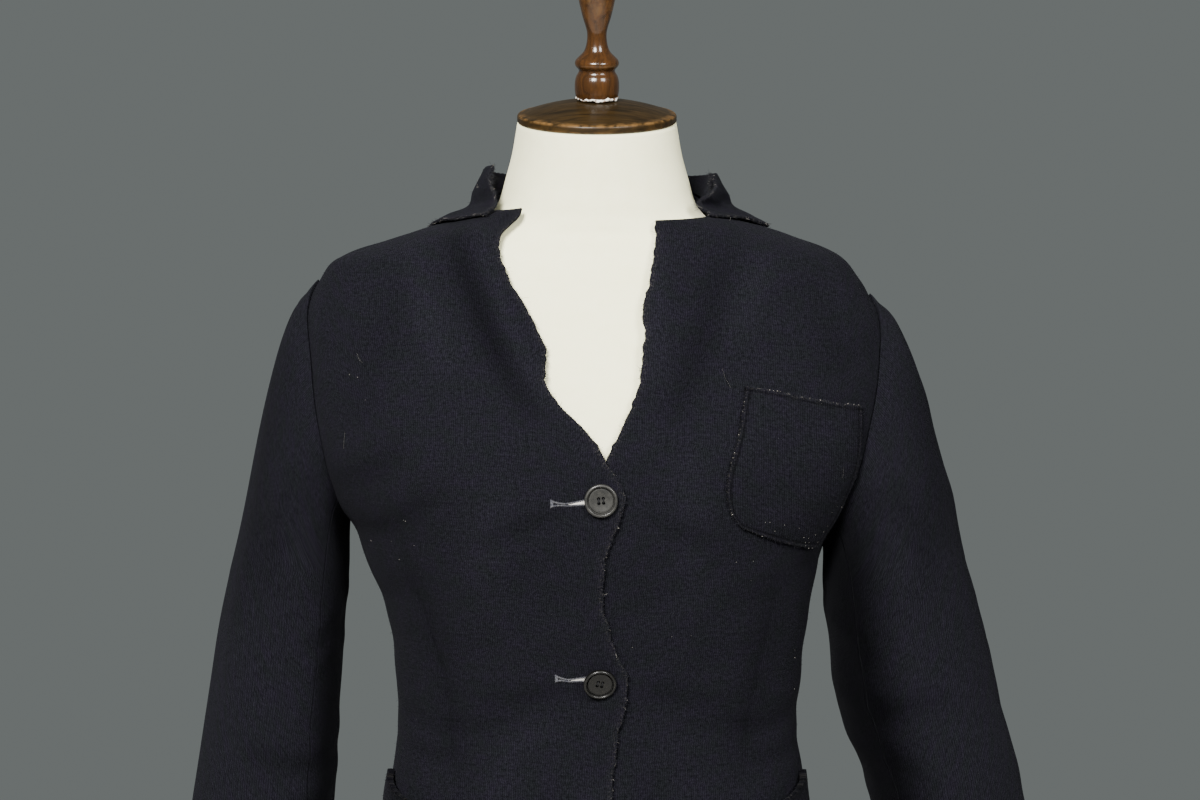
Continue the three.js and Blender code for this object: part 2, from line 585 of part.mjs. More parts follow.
function sleevePieces(side, front, back) {
  const { columns, count, seamNormals } = sleeveGrid(side, front, back);
  const normals = sleeveNormals(columns, seamNormals, side < 0);
  const frontSeam = Math.round(count * SLEEVE_SEAMS.front);
  const backSeam = Math.round(count * SLEEVE_SEAMS.back);
  const order = { upper: [], under: [] };
  for (let i = backSeam; i <= count; i += 1) order.upper.push(i);
  for (let i = 1; i <= frontSeam; i += 1) order.upper.push(i);
  for (let i = frontSeam; i <= backSeam; i += 1) order.under.push(i);
  const pieces = {};
  Object.entries(order).forEach(([name, indices]) => {
    const strip = indices.map((i) => columns[i]);
    const last = strip.length - 1;
    const rows = strip[0].length;
    const grid = [];
    for (let r = 0; r < rows; r += 1) {
      grid.push(strip.map((column, c) => {
        const point = column[r].clone();
        if (c > 0 && c < last) return point;
        const inside = strip[c === 0 ? 1 : last - 1][r];
        return point.add(inside.clone().sub(point).normalize().multiplyScalar(SEAM_GAP / 2));
      }));
    }
    const gridNormals = grid.map((row, r) => indices.map((i) => normals[i][r]));
    pieces[name] = wallGeometry(grid, WALL, side < 0, gridNormals);
  });
  return pieces;
}

// Collar: its stand rises from the neck seam, rolls over and falls back onto the shoulders
function collarGeometry() {
  const last = COLLAR[COLLAR.length - 1].turn;
  const first = COLLAR[0].turn;
  const grid = [];
  for (let c = 0; c <= COLLAR_COLUMNS; c += 1) {
    const t = (2 * c) / COLLAR_COLUMNS - 1;
    const side = t < 0 ? -1 : 1;
    const degrees = mix(last, first, Math.abs(t));
    const at = (column) => along(COLLAR, 'turn', column, degrees);
    const turnOf = (column) => side * THREE.MathUtils.degToRad(at(column));
    const lean = COLLAR_LEAN[sideName(side)];
    const fold = COLLAR_FOLD;
    const out = lean.out * t * t;
    const rollZ = at('roll') - lean.drop * t * t;
    const seam = bodyPoint(turnOf('turn'), at('seam')).add(new THREE.Vector3(0, 0, SEAM_GAP + 0.2));
    const roll = bodyPoint(turnOf('rollTurn'), COLLAR_ROLL_LEVEL).setZ(rollZ);
    const outward = new THREE.Vector3(roll.x, roll.y, 0).normalize();
    roll.addScaledVector(outward, out);
    const standTop = roll.clone().addScaledVector(outward, -fold.standIn - out * 0.6);
    standTop.setZ(mix(seam.z, roll.z, fold.standHigh));
    const fallTop = roll.clone().addScaledVector(outward, fold.out).setZ(roll.z - fold.drop);
    const fall = liftedPoint(turnOf('fallTurn'), at('mid'), at('lift')).addScaledVector(outward, out * 0.7);
    const lowTurn = mix(turnOf('fallTurn'), turnOf('edgeTurn'), fold.lowShare);
    const low = liftedPoint(lowTurn, mix(at('mid'), at('edge'), fold.lowShare), WALL + fold.lowLift);
    const edge = liftedPoint(turnOf('edgeTurn'), at('edge'), WALL + SEAM_GAP + fold.edgeLift);
    const stops = [seam, standTop, roll, fallTop, fall, low, edge];
    const line = new THREE.CatmullRomCurve3(stops, false, 'centripetal');
    grid.push(line.getSpacedPoints(COLLAR_ROWS));
  }
  return wallGeometry(grid, WALL);
}

// A patch pocket laid on a front, with an open top that may stand off a little
function pocketGeometry(side, pocket) {
  const { columns, rows } = pocket;
  const edgePlace = (table, v) => {
    const z = mix(table[0].z, table[table.length - 1].z, v);
    return place(side * turnAtX(side * along(table, 'z', 'x', z), z), z);
  };
  const inner = (v) => edgePlace(pocket.inner, v);
  const outer = (v) => edgePlace(pocket.outer, v);
  const bottom = (u) => {
    const dip = Math.sin(Math.PI * u) ** 0.7 * pocket.sag;
    return place(mix(inner(0).turn, outer(0).turn, u), mix(inner(0).z, outer(0).z, u) - dip);
  };
  const top = (u) => {
    const dip = Math.sin(Math.PI * u) * pocket.sag * 0.5;
    return place(mix(inner(1).turn, outer(1).turn, u), mix(inner(1).z, outer(1).z, u) - dip);
  };
  const pattern = fillPatch(inner, outer, bottom, top);
  const grid = [];
  for (let r = 0; r <= rows; r += 1) {
    const row = [];
    for (let c = 0; c <= columns; c += 1) {
      const at = pattern(c / columns, r / rows);
      const stand = pocket.gape * Math.sin((Math.PI * c) / columns) * (r / rows) ** 3;
      row.push(liftedPoint(side * at.turn, at.z, PATCH_LIFT + stand));
    }
    grid.push(row);
  }
  return wallGeometry(grid, WALL, side < 0);
}

// Four-hole button with a raised rim and a dished middle, its back on z = 0
function buttonGeometry() {
  const { radius, thick, rim, dish, holeRadius, holePitch } = BUTTON;
  const profile = [
    [0, 0], [radius - 1.6, 0], [radius - 0.3, 1], [radius, thick / 2], [radius - 0.4, thick - 0.5],
    [radius - 1.2, thick], [radius - rim, thick - 0.4], [radius - rim - 0.7, thick - dish + 0.2],
    [radius * 0.45, thick - dish - 0.3], [0, thick - dish - 0.5],
  ];
  const disc = new THREE.LatheGeometry(profile.map(([r, z]) => new THREE.Vector2(r, z)), 20);
  disc.rotateX(Math.PI / 2);
  let solid = manifoldOf(disc);
  for (let i = 0; i < 4; i += 1) {
    const angle = Math.PI / 4 + (i * Math.PI) / 2;
    const hole = new THREE.CylinderGeometry(holeRadius, holeRadius, thick * 3, 8);
    hole.rotateX(Math.PI / 2);
    const reach = holePitch / Math.SQRT2;
    hole.translate(Math.cos(angle) * reach, Math.sin(angle) * reach, 0);
    solid = solid.subtract(manifoldOf(hole));
  }
  return geometryOf(solid);
}

// A mesh with its doubled points merged, as a solid that can be cut
function manifoldOf(geometry) {
  const source = geometry.index ? geometry.toNonIndexed() : geometry;
  const places = source.getAttribute('position');
  const seen = new Map();
  const positions = [];
  const index = [];
  for (let i = 0; i < places.count; i += 1) {
    const point = [places.getX(i), places.getY(i), places.getZ(i)]
      .map((value) => Math.round(value * 1e4) / 1e4);
    const key = point.map((value) => value + 0).join(',');
    if (!seen.has(key)) {
      seen.set(key, positions.length / 3);
      positions.push(...point);
    }
    index.push(seen.get(key));
  }
  const kept = [];
  for (let i = 0; i < index.length; i += 3) {
    const [a, b, c] = index.slice(i, i + 3);
    if (a !== b && b !== c && c !== a) kept.push(a, b, c);
  }
  const whole = facingOut(positions, kept);
  return new wasm.Manifold(new wasm.Mesh({
    numProp: 3,
    vertProperties: new Float32Array(positions),
    triVerts: new Uint32Array(whole.getIndex().array),
  }));
}

function geometryOf(solid) {
  const mesh = solid.getMesh();
  return facingOut(Array.from(mesh.vertProperties), Array.from(mesh.triVerts));
}

// A turned piece: its profile in radius and height, closed on the axis
function turned(profile, segments) {
  const lathe = new THREE.LatheGeometry(profile.map(([r, z]) => new THREE.Vector2(r, z)), segments);
  lathe.rotateX(Math.PI / 2);
  return geometryOf(manifoldOf(lathe));
}

// The dress form as one closed body, with its neck's top tilted forward
function formGeometry() {
  const around = 28;
  const levels = [];
  for (let i = 0; i < FORM.length - 1; i += 1) {
    const parts = FORM[i + 1].z - FORM[i].z > 50 ? 2 : 1;
    for (let k = 0; k < parts; k += 1) levels.push(mix(FORM[i].z, FORM[i + 1].z, k / parts));
  }
  levels.push(FORM[FORM.length - 1].z);
  const positions = [];
  const neckTop = FORM[FORM.length - 1].z;
  levels.forEach((z) => {
    const at = (column) => along(FORM, 'z', column, z);
    const tilt = Math.tan(NECK_TILT) * smooth(clamp01((z - NECK_TILT_FROM_Z) / (neckTop - NECK_TILT_FROM_Z)));
    const power = 2 / at('square');
    for (let k = 0; k < around; k += 1) {
      const turn = (2 * Math.PI * k) / around;
      const s = Math.sin(turn);
      const c = Math.cos(turn);
      const depth = c > 0 ? at('front') : at('back');
      const y = -depth * Math.sign(c) * Math.abs(c) ** power;
      positions.push(at('half') * Math.sign(s) * Math.abs(s) ** power, at('lean') + y, z + y * tilt);
    }
  });
  const bottom = positions.length / 3;
  positions.push(0, 0, levels[0]);
  const top = bottom + 1;
  positions.push(0, FORM[FORM.length - 1].lean, neckTop);
  const index = [];
  for (let r = 0; r < levels.length - 1; r += 1) {
    for (let k = 0; k < around; k += 1) {
      const next = (k + 1) % around;
      const [a, b] = [r * around + k, r * around + next];
      index.push(a, b, b + around, a, b + around, a + around);
    }
  }
  for (let k = 0; k < around; k += 1) {
    const next = (k + 1) % around;
    const high = (levels.length - 1) * around;
    index.push(next, k, bottom, high + k, high + next, top);
  }
  return facingOut(positions, index);
}

// Blazer
const fronts = { right: frontPanel(SIDES.right), left: frontPanel(SIDES.left) };
const backs = { right: backPanel(SIDES.right), left: backPanel(SIDES.left) };
Object.entries(SIDES).forEach(([name, side]) => {
  addPiece(`front_${name}`, fronts[name].geometry, clothMaterial);
  addPiece(`back_${name}`, backs[name].geometry, clothMaterial);
  const sleeve = sleevePieces(side, fronts[name], backs[name]);
  addPiece(`sleeve_upper_${name}`, sleeve.upper, clothMaterial);
  addPiece(`sleeve_under_${name}`, sleeve.under, clothMaterial);
  addPiece(`hip_pocket_${name}`, pocketGeometry(side, HIP_POCKET), clothMaterial);
});
addPiece('collar', collarGeometry(), clothMaterial);
addPiece('chest_pocket', pocketGeometry(SIDES.left, CHEST_POCKET), clothMaterial);
BUTTONS.forEach(({ name, x, z }) => {
  const turn = turnAtX(x, z);
  const normal = bodyNormal(turn, z);
  const button = addPiece(name, buttonGeometry(), buttonMaterial);
  button.position.copy(liftedPoint(turn, z, OVERLAP_LIFT + BUTTON.gap));
  button.quaternion.setFromUnitVectors(new THREE.Vector3(0, 0, 1), normal);
});

// Dress form and its turned neck cap
const neck = FORM[FORM.length - 1];
addPiece('form', formGeometry(), jerseyMaterial);
const neckGroup = new THREE.Group();
neckGroup.position.set(0, neck.lean, neck.z);
neckGroup.rotation.x = NECK_TILT;
blazer.add(neckGroup);
const capProfile = [
  [0, 0], [CAP.radius - CAP.edge, 0], [CAP.radius, CAP.edge], [CAP.radius, CAP.rim - CAP.edge],
];
for (let i = 0; i <= CAP.domeSteps; i += 1) {
  const share = 1 - i / CAP.domeSteps;
  capProfile.push([CAP.domeReach * share, CAP.rim + CAP.dome * (1 - share * share)]);
}
const cap = new THREE.Mesh(turned(capProfile, 32), woodMaterial);
cap.name = 'neck_cap';
cap.position.z = PART_GAP;
neckGroup.add(cap);
const finialProfile = [[0, 0], ...FINIAL.map(({ up, r }) => [r, up])];
const finial = new THREE.Mesh(turned(finialProfile, 18), woodMaterial);
finial.name = 'finial';
finial.position.z = CAP.rim + CAP.dome + 2 * PART_GAP;
neckGroup.add(finial);

// Stand
const { baseRadius, baseThick, poleRadius, plateRadius, plateThick } = STAND;
const formBottom = FORM[0].z;
const plateBottom = formBottom - PART_GAP - plateThick;
const poleLong = plateBottom - baseThick - 2 * PART_GAP;
const plate = addPiece('form_plate', turned([
  [0, 0], [plateRadius - PLATE_EDGE.under, 0], [plateRadius, PLATE_EDGE.under],
  [plateRadius, plateThick - PLATE_EDGE.over], [plateRadius - PLATE_EDGE.over, plateThick], [0, plateThick],
], 32), woodMaterial);
plate.position.z = plateBottom;
const pole = addPiece('stand_pole', turned([
  [0, 0], [poleRadius, 0], [poleRadius, poleLong], [0, poleLong],
], 20), steelMaterial);
pole.position.z = baseThick + PART_GAP;
const baseProfile = BASE_EDGE.map(({ inward, z }) => [baseRadius - inward, z]);
addPiece('stand_base', turned([[0, 0], ...baseProfile, [0, baseThick]], 36), woodMaterial);

export default blazer;
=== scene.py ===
# Single-breasted knit blazer with raw edges on a limbless dress form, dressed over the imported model.
# Metres, +Z up, +X towards the wearer's left, -Y towards the front of the blazer.
# The tables hold millimetres, as on a cutter's card, and are turned into metres as they are read.
import math
import random
import bpy
import numpy as np
from mathutils import Matrix, Vector, kdtree


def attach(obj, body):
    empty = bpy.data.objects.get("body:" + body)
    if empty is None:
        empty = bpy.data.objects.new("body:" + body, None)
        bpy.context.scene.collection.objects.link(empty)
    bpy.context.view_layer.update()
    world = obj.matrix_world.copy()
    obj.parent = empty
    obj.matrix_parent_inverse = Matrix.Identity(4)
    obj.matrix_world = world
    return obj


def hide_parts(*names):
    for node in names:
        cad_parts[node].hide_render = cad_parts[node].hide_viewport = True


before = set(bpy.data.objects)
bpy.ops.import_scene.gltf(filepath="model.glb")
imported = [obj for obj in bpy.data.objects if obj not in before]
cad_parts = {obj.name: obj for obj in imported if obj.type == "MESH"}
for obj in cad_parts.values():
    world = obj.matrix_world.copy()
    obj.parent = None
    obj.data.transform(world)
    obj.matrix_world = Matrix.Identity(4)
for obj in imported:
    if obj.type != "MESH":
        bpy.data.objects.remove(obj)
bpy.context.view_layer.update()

MM = 0.001
RIGHT = -1
LEFT = 1
SIDE_NAMES = {RIGHT: "right", LEFT: "left"}

# Camera, at the photograph's angle and framing
LENS = 83.33
SENSOR_WIDTH = 36
CAMERA_PLACE = (0.0022, -1.9973, 0.7847)
CAMERA_PITCH = math.radians(3)

# Cloth
CLOTH = 2.3 * MM
PATCH_CLOTH = 2.0 * MM
SEAM_GAP = 0.3 * MM
WALL = 2.6 * MM
PATCH_LIFT = 2.9 * MM
# The right front stands off to pass over the left one, from a place across and over a short ramp
OVERLAP = {"lift": 3.45 * MM, "from_x": -62 * MM, "ramp": 34 * MM}
# Sewn edges draw the cloth in, and creases run out before they reach them
SEAM_DIP = {"deep": 0.7 * MM, "sleeve": 0.3 * MM, "armhole": 0.05 * MM, "wide": 2.6 * MM}
CREASE_FADE = 15 * MM
# The lapel's raw edge curls from this height up, and this far in from the edge
LAPEL_CURL = {"from_z": 640 * MM, "ramp": 60 * MM, "reach": 9 * MM}
# How far a shell's rim swells outwards, and how far in from a cut edge the cloth looks torn
RIM_ROLL = {"raw": 0.45 * MM, "sewn": 0.02 * MM}
TORN_REACH = 1.6 * MM

# Heights of the blazer
HEM_Z = 226 * MM
LAPEL_TOP_Z = {RIGHT: 816 * MM, LEFT: 809 * MM}
LAPEL_TIP_X = {RIGHT: 52 * MM, LEFT: 42 * MM}
SIDE_NECK_Z = 815 * MM
BACK_NECK_Z = 836 * MM
UNDERARM_Z = {RIGHT: 597 * MM, LEFT: 578 * MM}
SHOULDER_TIP_Z = {RIGHT: 765 * MM, LEFT: 755 * MM}
SHOULDER_SEAM_DEPTH = 3 * MM
SIDE_SEAM_DEPTH = 6 * MM
FRONT_NECK_SHARE = 0.26
BACK_NECK_SHARE = 0.42
BUST = {"x": 84 * MM, "z": 640 * MM, "out": 6 * MM, "wide": 46 * MM, "tall": 52 * MM}

# Columns of the tables that hold no lengths
PLAIN_COLUMNS = {"square", "turn", "roll_turn", "fall_turn", "edge_turn"}


def table(columns, *rows):
    """Named columns of numbers, in rising order of the first; lengths turn into metres."""
    ordered = sorted(rows)
    names = columns.split()
    scales = [1 if name in PLAIN_COLUMNS else MM for name in names]
    return {name: np.array([row[i] for row in ordered]) * scales[i] for i, name in enumerate(names)}


# The blazer's outer surface: half widths to the wearer's right and left, depth, squareness
BODY = table(
    "z right left front back square",
    (226, 178, 178, 112, 119, 2.3), (300, 169, 170, 107, 112, 2.3), (345, 160, 161, 101, 102, 2.3),
    (390, 151, 152, 95, 90, 2.3), (416, 147, 148, 91, 82, 2.3), (443, 144, 143.5, 90, 78, 2.3),
    (478, 144.5, 146.5, 93, 81, 2.3), (510, 148, 149.5, 99, 86, 2.35), (540, 155, 154.5, 105, 92, 2.4),
    (564, 165, 160, 110, 97, 2.4), (584, 173, 168, 114, 101, 2.4), (604, 184, 180, 116, 105, 2.4),
    (630, 199, 195, 116, 109, 2.4), (655, 208, 203, 112, 111, 2.4), (688, 215, 210, 101, 111, 2.4),
    (715, 215, 209, 92, 109, 2.4), (740, 211, 203, 85, 104, 2.4), (757, 204, 194, 80, 100, 2.4),
    (768, 197, 187, 77, 96, 2.4), (781, 187, 178, 74, 91, 2.35), (790, 166, 163, 72, 86, 2.3),
    (798, 142, 140, 70, 81, 2.25), (805, 116, 119, 68, 77, 2.2), (811, 96, 98, 67, 73, 2.2),
    (816, 84, 84, 66, 70, 2.2), (824, 79, 79, 65, 65, 2.2), (840, 75, 75, 64, 60, 2.2),
)

# Where the raw front edges run: the right one laps over, and the left one is hidden below the V
OVER_EDGE = table(
    "z x",
    (226, 12), (400, 10), (450, 14), (491, 21), (518, 11), (550, 4), (582, 7), (619, 19), (644, 6),
    (663, -7), (690, -33), (721, -36), (742, -46), (770, -62), (788, -68), (802, -64), (811, -54),
    (816, -52),
)
UNDER_EDGE = table(
    "z x",
    (226, -16), (600, -16), (626, -8), (644, 6), (673, 20), (691, 28), (727, 33), (745, 32), (778, 39),
    (809, 42),
)

# The armhole from the underarm up to the shoulder tip: share of its height, and depth
ARMHOLE_FRONT = (
    (0, 6), (0.02, -9), (0.06, -26), (0.15, -42), (0.3, -50), (0.48, -49), (0.66, -43), (0.82, -31),
    (0.94, -15), (1, 3),
)
ARMHOLE_BACK = (
    (0, 6), (0.02, 22), (0.08, 38), (0.2, 52), (0.38, 58), (0.58, 56), (0.76, 46), (0.91, 26),
    (1, 3),
)

# Sleeves below the underarm: inner and outer side, and the middle and half of the depth
SLEEVES = {
    RIGHT: table(
        "z inner outer middle half",
        (558, 182, 262, 2, 58), (520, 185, 270, 0, 55), (484, 187, 276, -2, 53),
        (446, 190, 282, -4, 52), (400, 192, 288, -8, 50), (340, 197, 296, -13, 48),
        (270, 204, 303, -20, 46), (172, 214, 310, -30, 43),
    ),
    LEFT: table(
        "z inner outer middle half",
        (545, 166, 269, 2, 58), (517, 169, 277, 0, 55), (484, 172, 285, -2, 54),
        (450, 181, 293, -4, 52), (400, 198, 305, -8, 50), (340, 212, 316, -13, 48),
        (270, 226, 327, -20, 46), (172, 241, 339, -30, 43),
    ),
}
SLEEVE_SQUARE = 2.2
ARMHOLE_GAP = 0.08 * MM
# The two sleeve seams, as shares of the way round from the outer side by the front
SLEEVE_SEAMS = {"front": 8 / 22, "back": 15 / 22}
# How a sleeve leaves its armhole at the shoulder tip and underarm: outwards, downwards, and the
# rise above the underarm over which it settles into the hanging sleeve; swell is to front and back
HEAD = {
    "out_top": 24, "out_under": 3, "drop_top": 15, "drop_under": 9,
    "rise_top": 140, "rise_under": 12, "swell": 6,
}

# Collar, by degrees of turn from the front at its seam: heights of the seam, roll, middle of the
# fall and outer edge, the turns that each of these reaches forward to, and how far the fall lifts
COLLAR = table(
    "turn seam roll_turn roll fall_turn mid lift edge edge_turn",
    (70, 816, 65, 848, 57, 824, 6, 810, 50), (88, 819.5, 86, 847, 82, 814, 7, 805, 84),
    (122, 830, 122, 844, 122, 815, 8, 801, 122), (150, 835, 150, 843, 150, 818, 8, 797, 150),
    (180, 837, 180, 842, 180, 820, 8, 795, 180),
)
COLLAR_ROLL_LEVEL = 822 * MM
# How far each front end of the collar leans outwards and sinks
COLLAR_LEAN = {RIGHT: {"out": 0, "drop": 0}, LEFT: {"out": 8 * MM, "drop": 6 * MM}}

# Patch pockets on the fronts: their inner and outer sides, sag of the lower edge, gape of the mouth
CHEST_POCKET = {
    "inner": table("z x", (600, 97), (612, 90), (630, 88), (665, 97), (694, 102)),
    "outer": table("z x", (580, 155), (610, 171), (640, 181), (679, 184)),
    "sag": 5 * MM,
    "gape": 0.0,
    "corner": 0.0,
}
HIP_POCKET = {
    "inner": table("z x", (275, 66), (300, 62), (390, 60)),
    "outer": table("z x", (275, 158), (300, 164), (350, 156), (416, 144)),
    "sag": 12 * MM,
    "gape": 6 * MM,
    "corner": 3.4 * MM,
}

# Buttons and their buttonholes
BUTTON = {"radius": 11.45 * MM, "thick": 4 * MM, "rim": 1.9 * MM, "dish": 1.3 * MM, "gap": 0.7 * MM}
HOLE = {"radius": 1.15 * MM, "pitch": 3.2 * MM}
# Each button's place, its turn on the cloth in degrees, and how far it leans over on its thread
BUTTONS = {"button_1": (3 * MM, 618 * MM, 4, 0), "button_2": (2 * MM, 492 * MM, -14, 14)}

# Dress form: half width, depth to the front and back, forward lean, squareness
FORM = table(
    "z half front back lean square",
    (150, 158, 98, 106, 0, 2.3), (226, 165, 100, 107, 0, 2.3), (300, 157, 96, 100, 0, 2.3),
    (390, 141, 85, 79, 0, 2.3), (443, 134, 80, 68, 0, 2.3), (500, 137, 88, 75, 0, 2.3),
    (564, 150, 101, 87, 0, 2.35), (604, 165, 108, 95, 0, 2.4), (640, 176, 108, 101, 0, 2.4),
    (690, 184, 94, 104, 0, 2.4), (730, 186, 82, 99, 0, 2.4), (757, 182, 74, 92, 0, 2.4),
    (768, 176, 71, 88, 0, 2.35), (776.7, 170, 68.5, 86.5, 0, 2.3), (784.7, 157, 66, 82, 0, 2.25),
    (792.7, 135, 64, 77, 0, 2.2), (799.7, 111, 62, 72, 0, 2.15), (805, 91, 61, 66, -1, 2.1),
    (812, 78, 60, 63, -2, 2.1), (822, 70.5, 59, 58, -4, 2.1), (838, 65.5, 57, 54, -7, 2.05),
    (856, 60.5, 55, 53, -11, 2), (878.5, 56.5, 54, 54, -14, 2),
)
# The middling radius that the jersey's wales are counted round
JERSEY_RADIUS = 100 * MM
NECK_TILT = math.radians(11.6)
NECK_TILT_FROM_Z = 800 * MM

# Turned wood on the neck; the finial's heights are above the top of the cap
CAP = {"radius": 56.7 * MM, "rim": 6 * MM, "dome": 10 * MM}
PART_GAP = 0.3 * MM
FINIAL = table(
    "up r",
    (0, 13.2), (0.8, 14), (2.2, 14.9), (5, 15.6), (10, 15.8), (14, 15.4), (16.8, 14.5), (18.6, 13.4),
    (20.2, 12.8), (21.6, 13.3), (23, 14.6), (24.6, 15.5), (26.4, 15.6), (28.2, 14.8), (30.4, 12.7),
    (32.3, 10.7), (34.1, 9.2), (37, 8), (40, 7.3), (43.5, 6.9), (47.5, 7), (51, 7.8), (57, 9.7),
    (64, 11.5), (71, 13), (80, 14.2), (89, 13.6), (96, 11), (101, 7), (103.6, 3.5), (104.5, 0.4),
)

# Stand
STAND = {
    "base_radius": 165 * MM, "base_thick": 20 * MM, "pole_radius": 13 * MM,
    "plate_radius": 86 * MM, "plate_thick": 12 * MM,
}

# Row levels of the panels, shared with the solids: below and above the underarm
ROWS_BELOW = 9
ROWS_ABOVE = 11
SPLIT = ROWS_BELOW / (ROWS_BELOW + ROWS_ABOVE)

# Points of the fine cloth; a panel's rows are counted below and above the underarm
FRONT_GRID = {"columns": 84, "rows": (126, 96)}
BACK_GRID = {"columns": 72, "rows": (120, 92)}
SLEEVE_GRID = {"upper": 92, "under": 52, "head_rows": 44, "arm_rows": 112}
COLLAR_GRID = {"columns": 150, "rows": 64}
POCKET_GRID = {"columns": 60, "rows": 72}

# Main creases of the fronts as soft troughs (minus) and ridges (plus): places (x, z), height, width
FRONT_CREASES = {
    RIGHT: (
        (((-104, 816), (-97, 788), (-85, 755), (-71, 722), (-56, 694), (-38, 668)), -3.6, 9),
        (((-78, 814), (-78, 784), (-66, 750), (-53, 718), (-42, 696), (-26, 672)), 1.6, 7),
        (((-132, 800), (-126, 766), (-114, 730), (-96, 698)), 2.0, 13),
        (
            ((-133, 594), (-131, 560), (-120, 540), (-113, 510), (-106, 482), (-101, 440), (-98, 400)),
            -1.5, 11,
        ),
        (((-148, 466), (-120, 455), (-84, 457), (-52, 464)), -1.5, 7),
        (((-146, 442), (-118, 433), (-92, 437)), -1.1, 6),
        (((-178, 586), (-142, 597), (-100, 626)), -2.4, 9),
        (((-186, 622), (-156, 634), (-130, 660)), -1.6, 9),
        (((-116, 784), (-140, 752), (-160, 700), (-168, 660)), -1.0, 15),
        (((-14, 612), (-46, 601), (-84, 580)), -1.4, 7),
        (((-14, 487), (-48, 478), (-92, 470)), -1.5, 7),
        (((-20, 460), (-58, 440), (-76, 402)), 1.2, 11),
        (((-60, 640), (-76, 590), (-80, 530)), 1.4, 17),
        (((-30, 420), (-36, 350), (-28, 290)), -2.0, 14),
    ),
    LEFT: (
        (((98, 804), (85, 766), (73, 726), (58, 688), (44, 664)), -2.2, 11),
        (((48, 800), (44, 770), (40, 740), (40, 712), (36, 690)), 2.0, 9),
        (((120, 790), (108, 754), (92, 716)), 1.6, 12),
        (((126, 566), (121, 530), (113, 494), (106, 452), (102, 410)), -1.6, 12),
        (((148, 464), (120, 453), (88, 458), (56, 454)), -1.5, 7),
        (((146, 438), (124, 430), (104, 435)), -1.1, 6),
        (((148, 772), (163, 728), (172, 690)), -1.2, 13),
        (((182, 600), (160, 574), (140, 562)), -2.0, 8),
        (((30, 606), (58, 594), (92, 572)), -1.3, 8),
        (((30, 484), (62, 476), (98, 470)), -1.4, 8),
        (((60, 650), (66, 600), (64, 530)), 1.3, 17),
        (((34, 430), (44, 360), (38, 300)), -2.0, 15),
    ),
}
# Stitched waist darts of the fronts, as a narrow sunk line
DARTS = {
    RIGHT: ((-134, 590), (-131, 560), (-121, 538), (-113, 510), (-106, 482), (-101, 440), (-98, 398)),
    LEFT: ((129, 572), (122, 532), (114, 496), (107, 454), (103, 400)),
}
DART_DIP = {"deep": -1.0, "wide": 1.4}
# A trough this deep gets the full painted shade
FOLD_SHADE_DEPTH = 7 * MM

BACK_CREASES = {
    RIGHT: (
        (((-60, 760), (-74, 690), (-70, 600), (-58, 520)), -2.2, 17),
        (((-40, 470), (-80, 452), (-122, 462)), -2.0, 9),
        (((-30, 446), (-70, 430), (-116, 440)), -1.5, 8),
        (((-120, 720), (-140, 660), (-138, 610)), -1.8, 13),
        (((-50, 400), (-66, 330), (-62, 262)), 1.8, 18),
        (((-100, 410), (-112, 350), (-108, 280)), -1.6, 14),
    ),
    LEFT: (
        (((64, 756), (80, 684), (76, 606), (60, 528)), -2.0, 16),
        (((34, 476), (70, 460), (118, 458)), -2.2, 9),
        (((46, 440), (84, 428), (120, 436)), -1.3, 8),
        (((126, 716), (146, 668), (140, 604)), -1.9, 14),
        (((54, 396), (60, 336), (68, 256)), 1.6, 18),
        (((104, 402), (108, 344), (116, 290)), -1.5, 13),
    ),
}

# Painted shade on the inner side of each sleeve, next to the body, in degrees round
INNER_SHADE = {RIGHT: {"full": 22, "fade": 36}, LEFT: {"full": 46, "fade": 44}}
INNER_SHADE_MIDDLE = 180
# Sleeve creases: places (degrees round from the outer side by the front, z), height, width
DEGREE_MM = 0.84
SLEEVE_CREASES = {
    RIGHT: (
        (((196, 548), (150, 530), (112, 508)), -2.4, 8),
        (((190, 512), (150, 500), (120, 488)), -1.8, 7),
        (((200, 452), (160, 436), (112, 430), (72, 442)), -2.5, 9),
        (((196, 424), (150, 404), (96, 398)), -2.1, 8),
        (((196, 376), (150, 366), (118, 372)), -1.5, 8),
        (((230, 470), (262, 440), (300, 424)), -1.8, 10),
        (((36, 730), (50, 660), (58, 580), (54, 520)), -2.0, 14),
        (((86, 640), (78, 590), (84, 540)), -1.5, 10),
        (((20, 560), (30, 480), (26, 400)), 1.5, 17),
        (((120, 340), (80, 300), (52, 250)), -1.6, 12),
        (((300, 660), (286, 600), (270, 540)), -1.8, 12),
    ),
    LEFT: (
        (((188, 536), (150, 522), (116, 496)), -2.4, 8),
        (((194, 486), (156, 470), (116, 466), (74, 478)), -2.5, 9),
        (((192, 448), (150, 432), (100, 428)), -2.1, 8),
        (((196, 412), (160, 396), (118, 388)), -1.6, 7),
        (((232, 462), (268, 444), (304, 436)), -1.8, 10),
        (((32, 716), (46, 650), (60, 566)), -2.0, 14),
        (((84, 630), (74, 584), (80, 540)), -1.5, 10),
        (((12, 540), (22, 470), (20, 390)), 1.5, 17),
        (((116, 330), (84, 286), (60, 238)), -1.6, 12),
        (((304, 650), (288, 590), (274, 530)), -1.8, 12),
    ),
}


def mix(a, b, t):
    return a + (b - a) * t


def smooth(t):
    return t * t * (3 - 2 * t)


def clamp01(t):
    return np.clip(t, 0, 1)


def unit(vectors):
    return vectors / np.maximum(np.linalg.norm(vectors, axis=-1, keepdims=True), 1e-12)


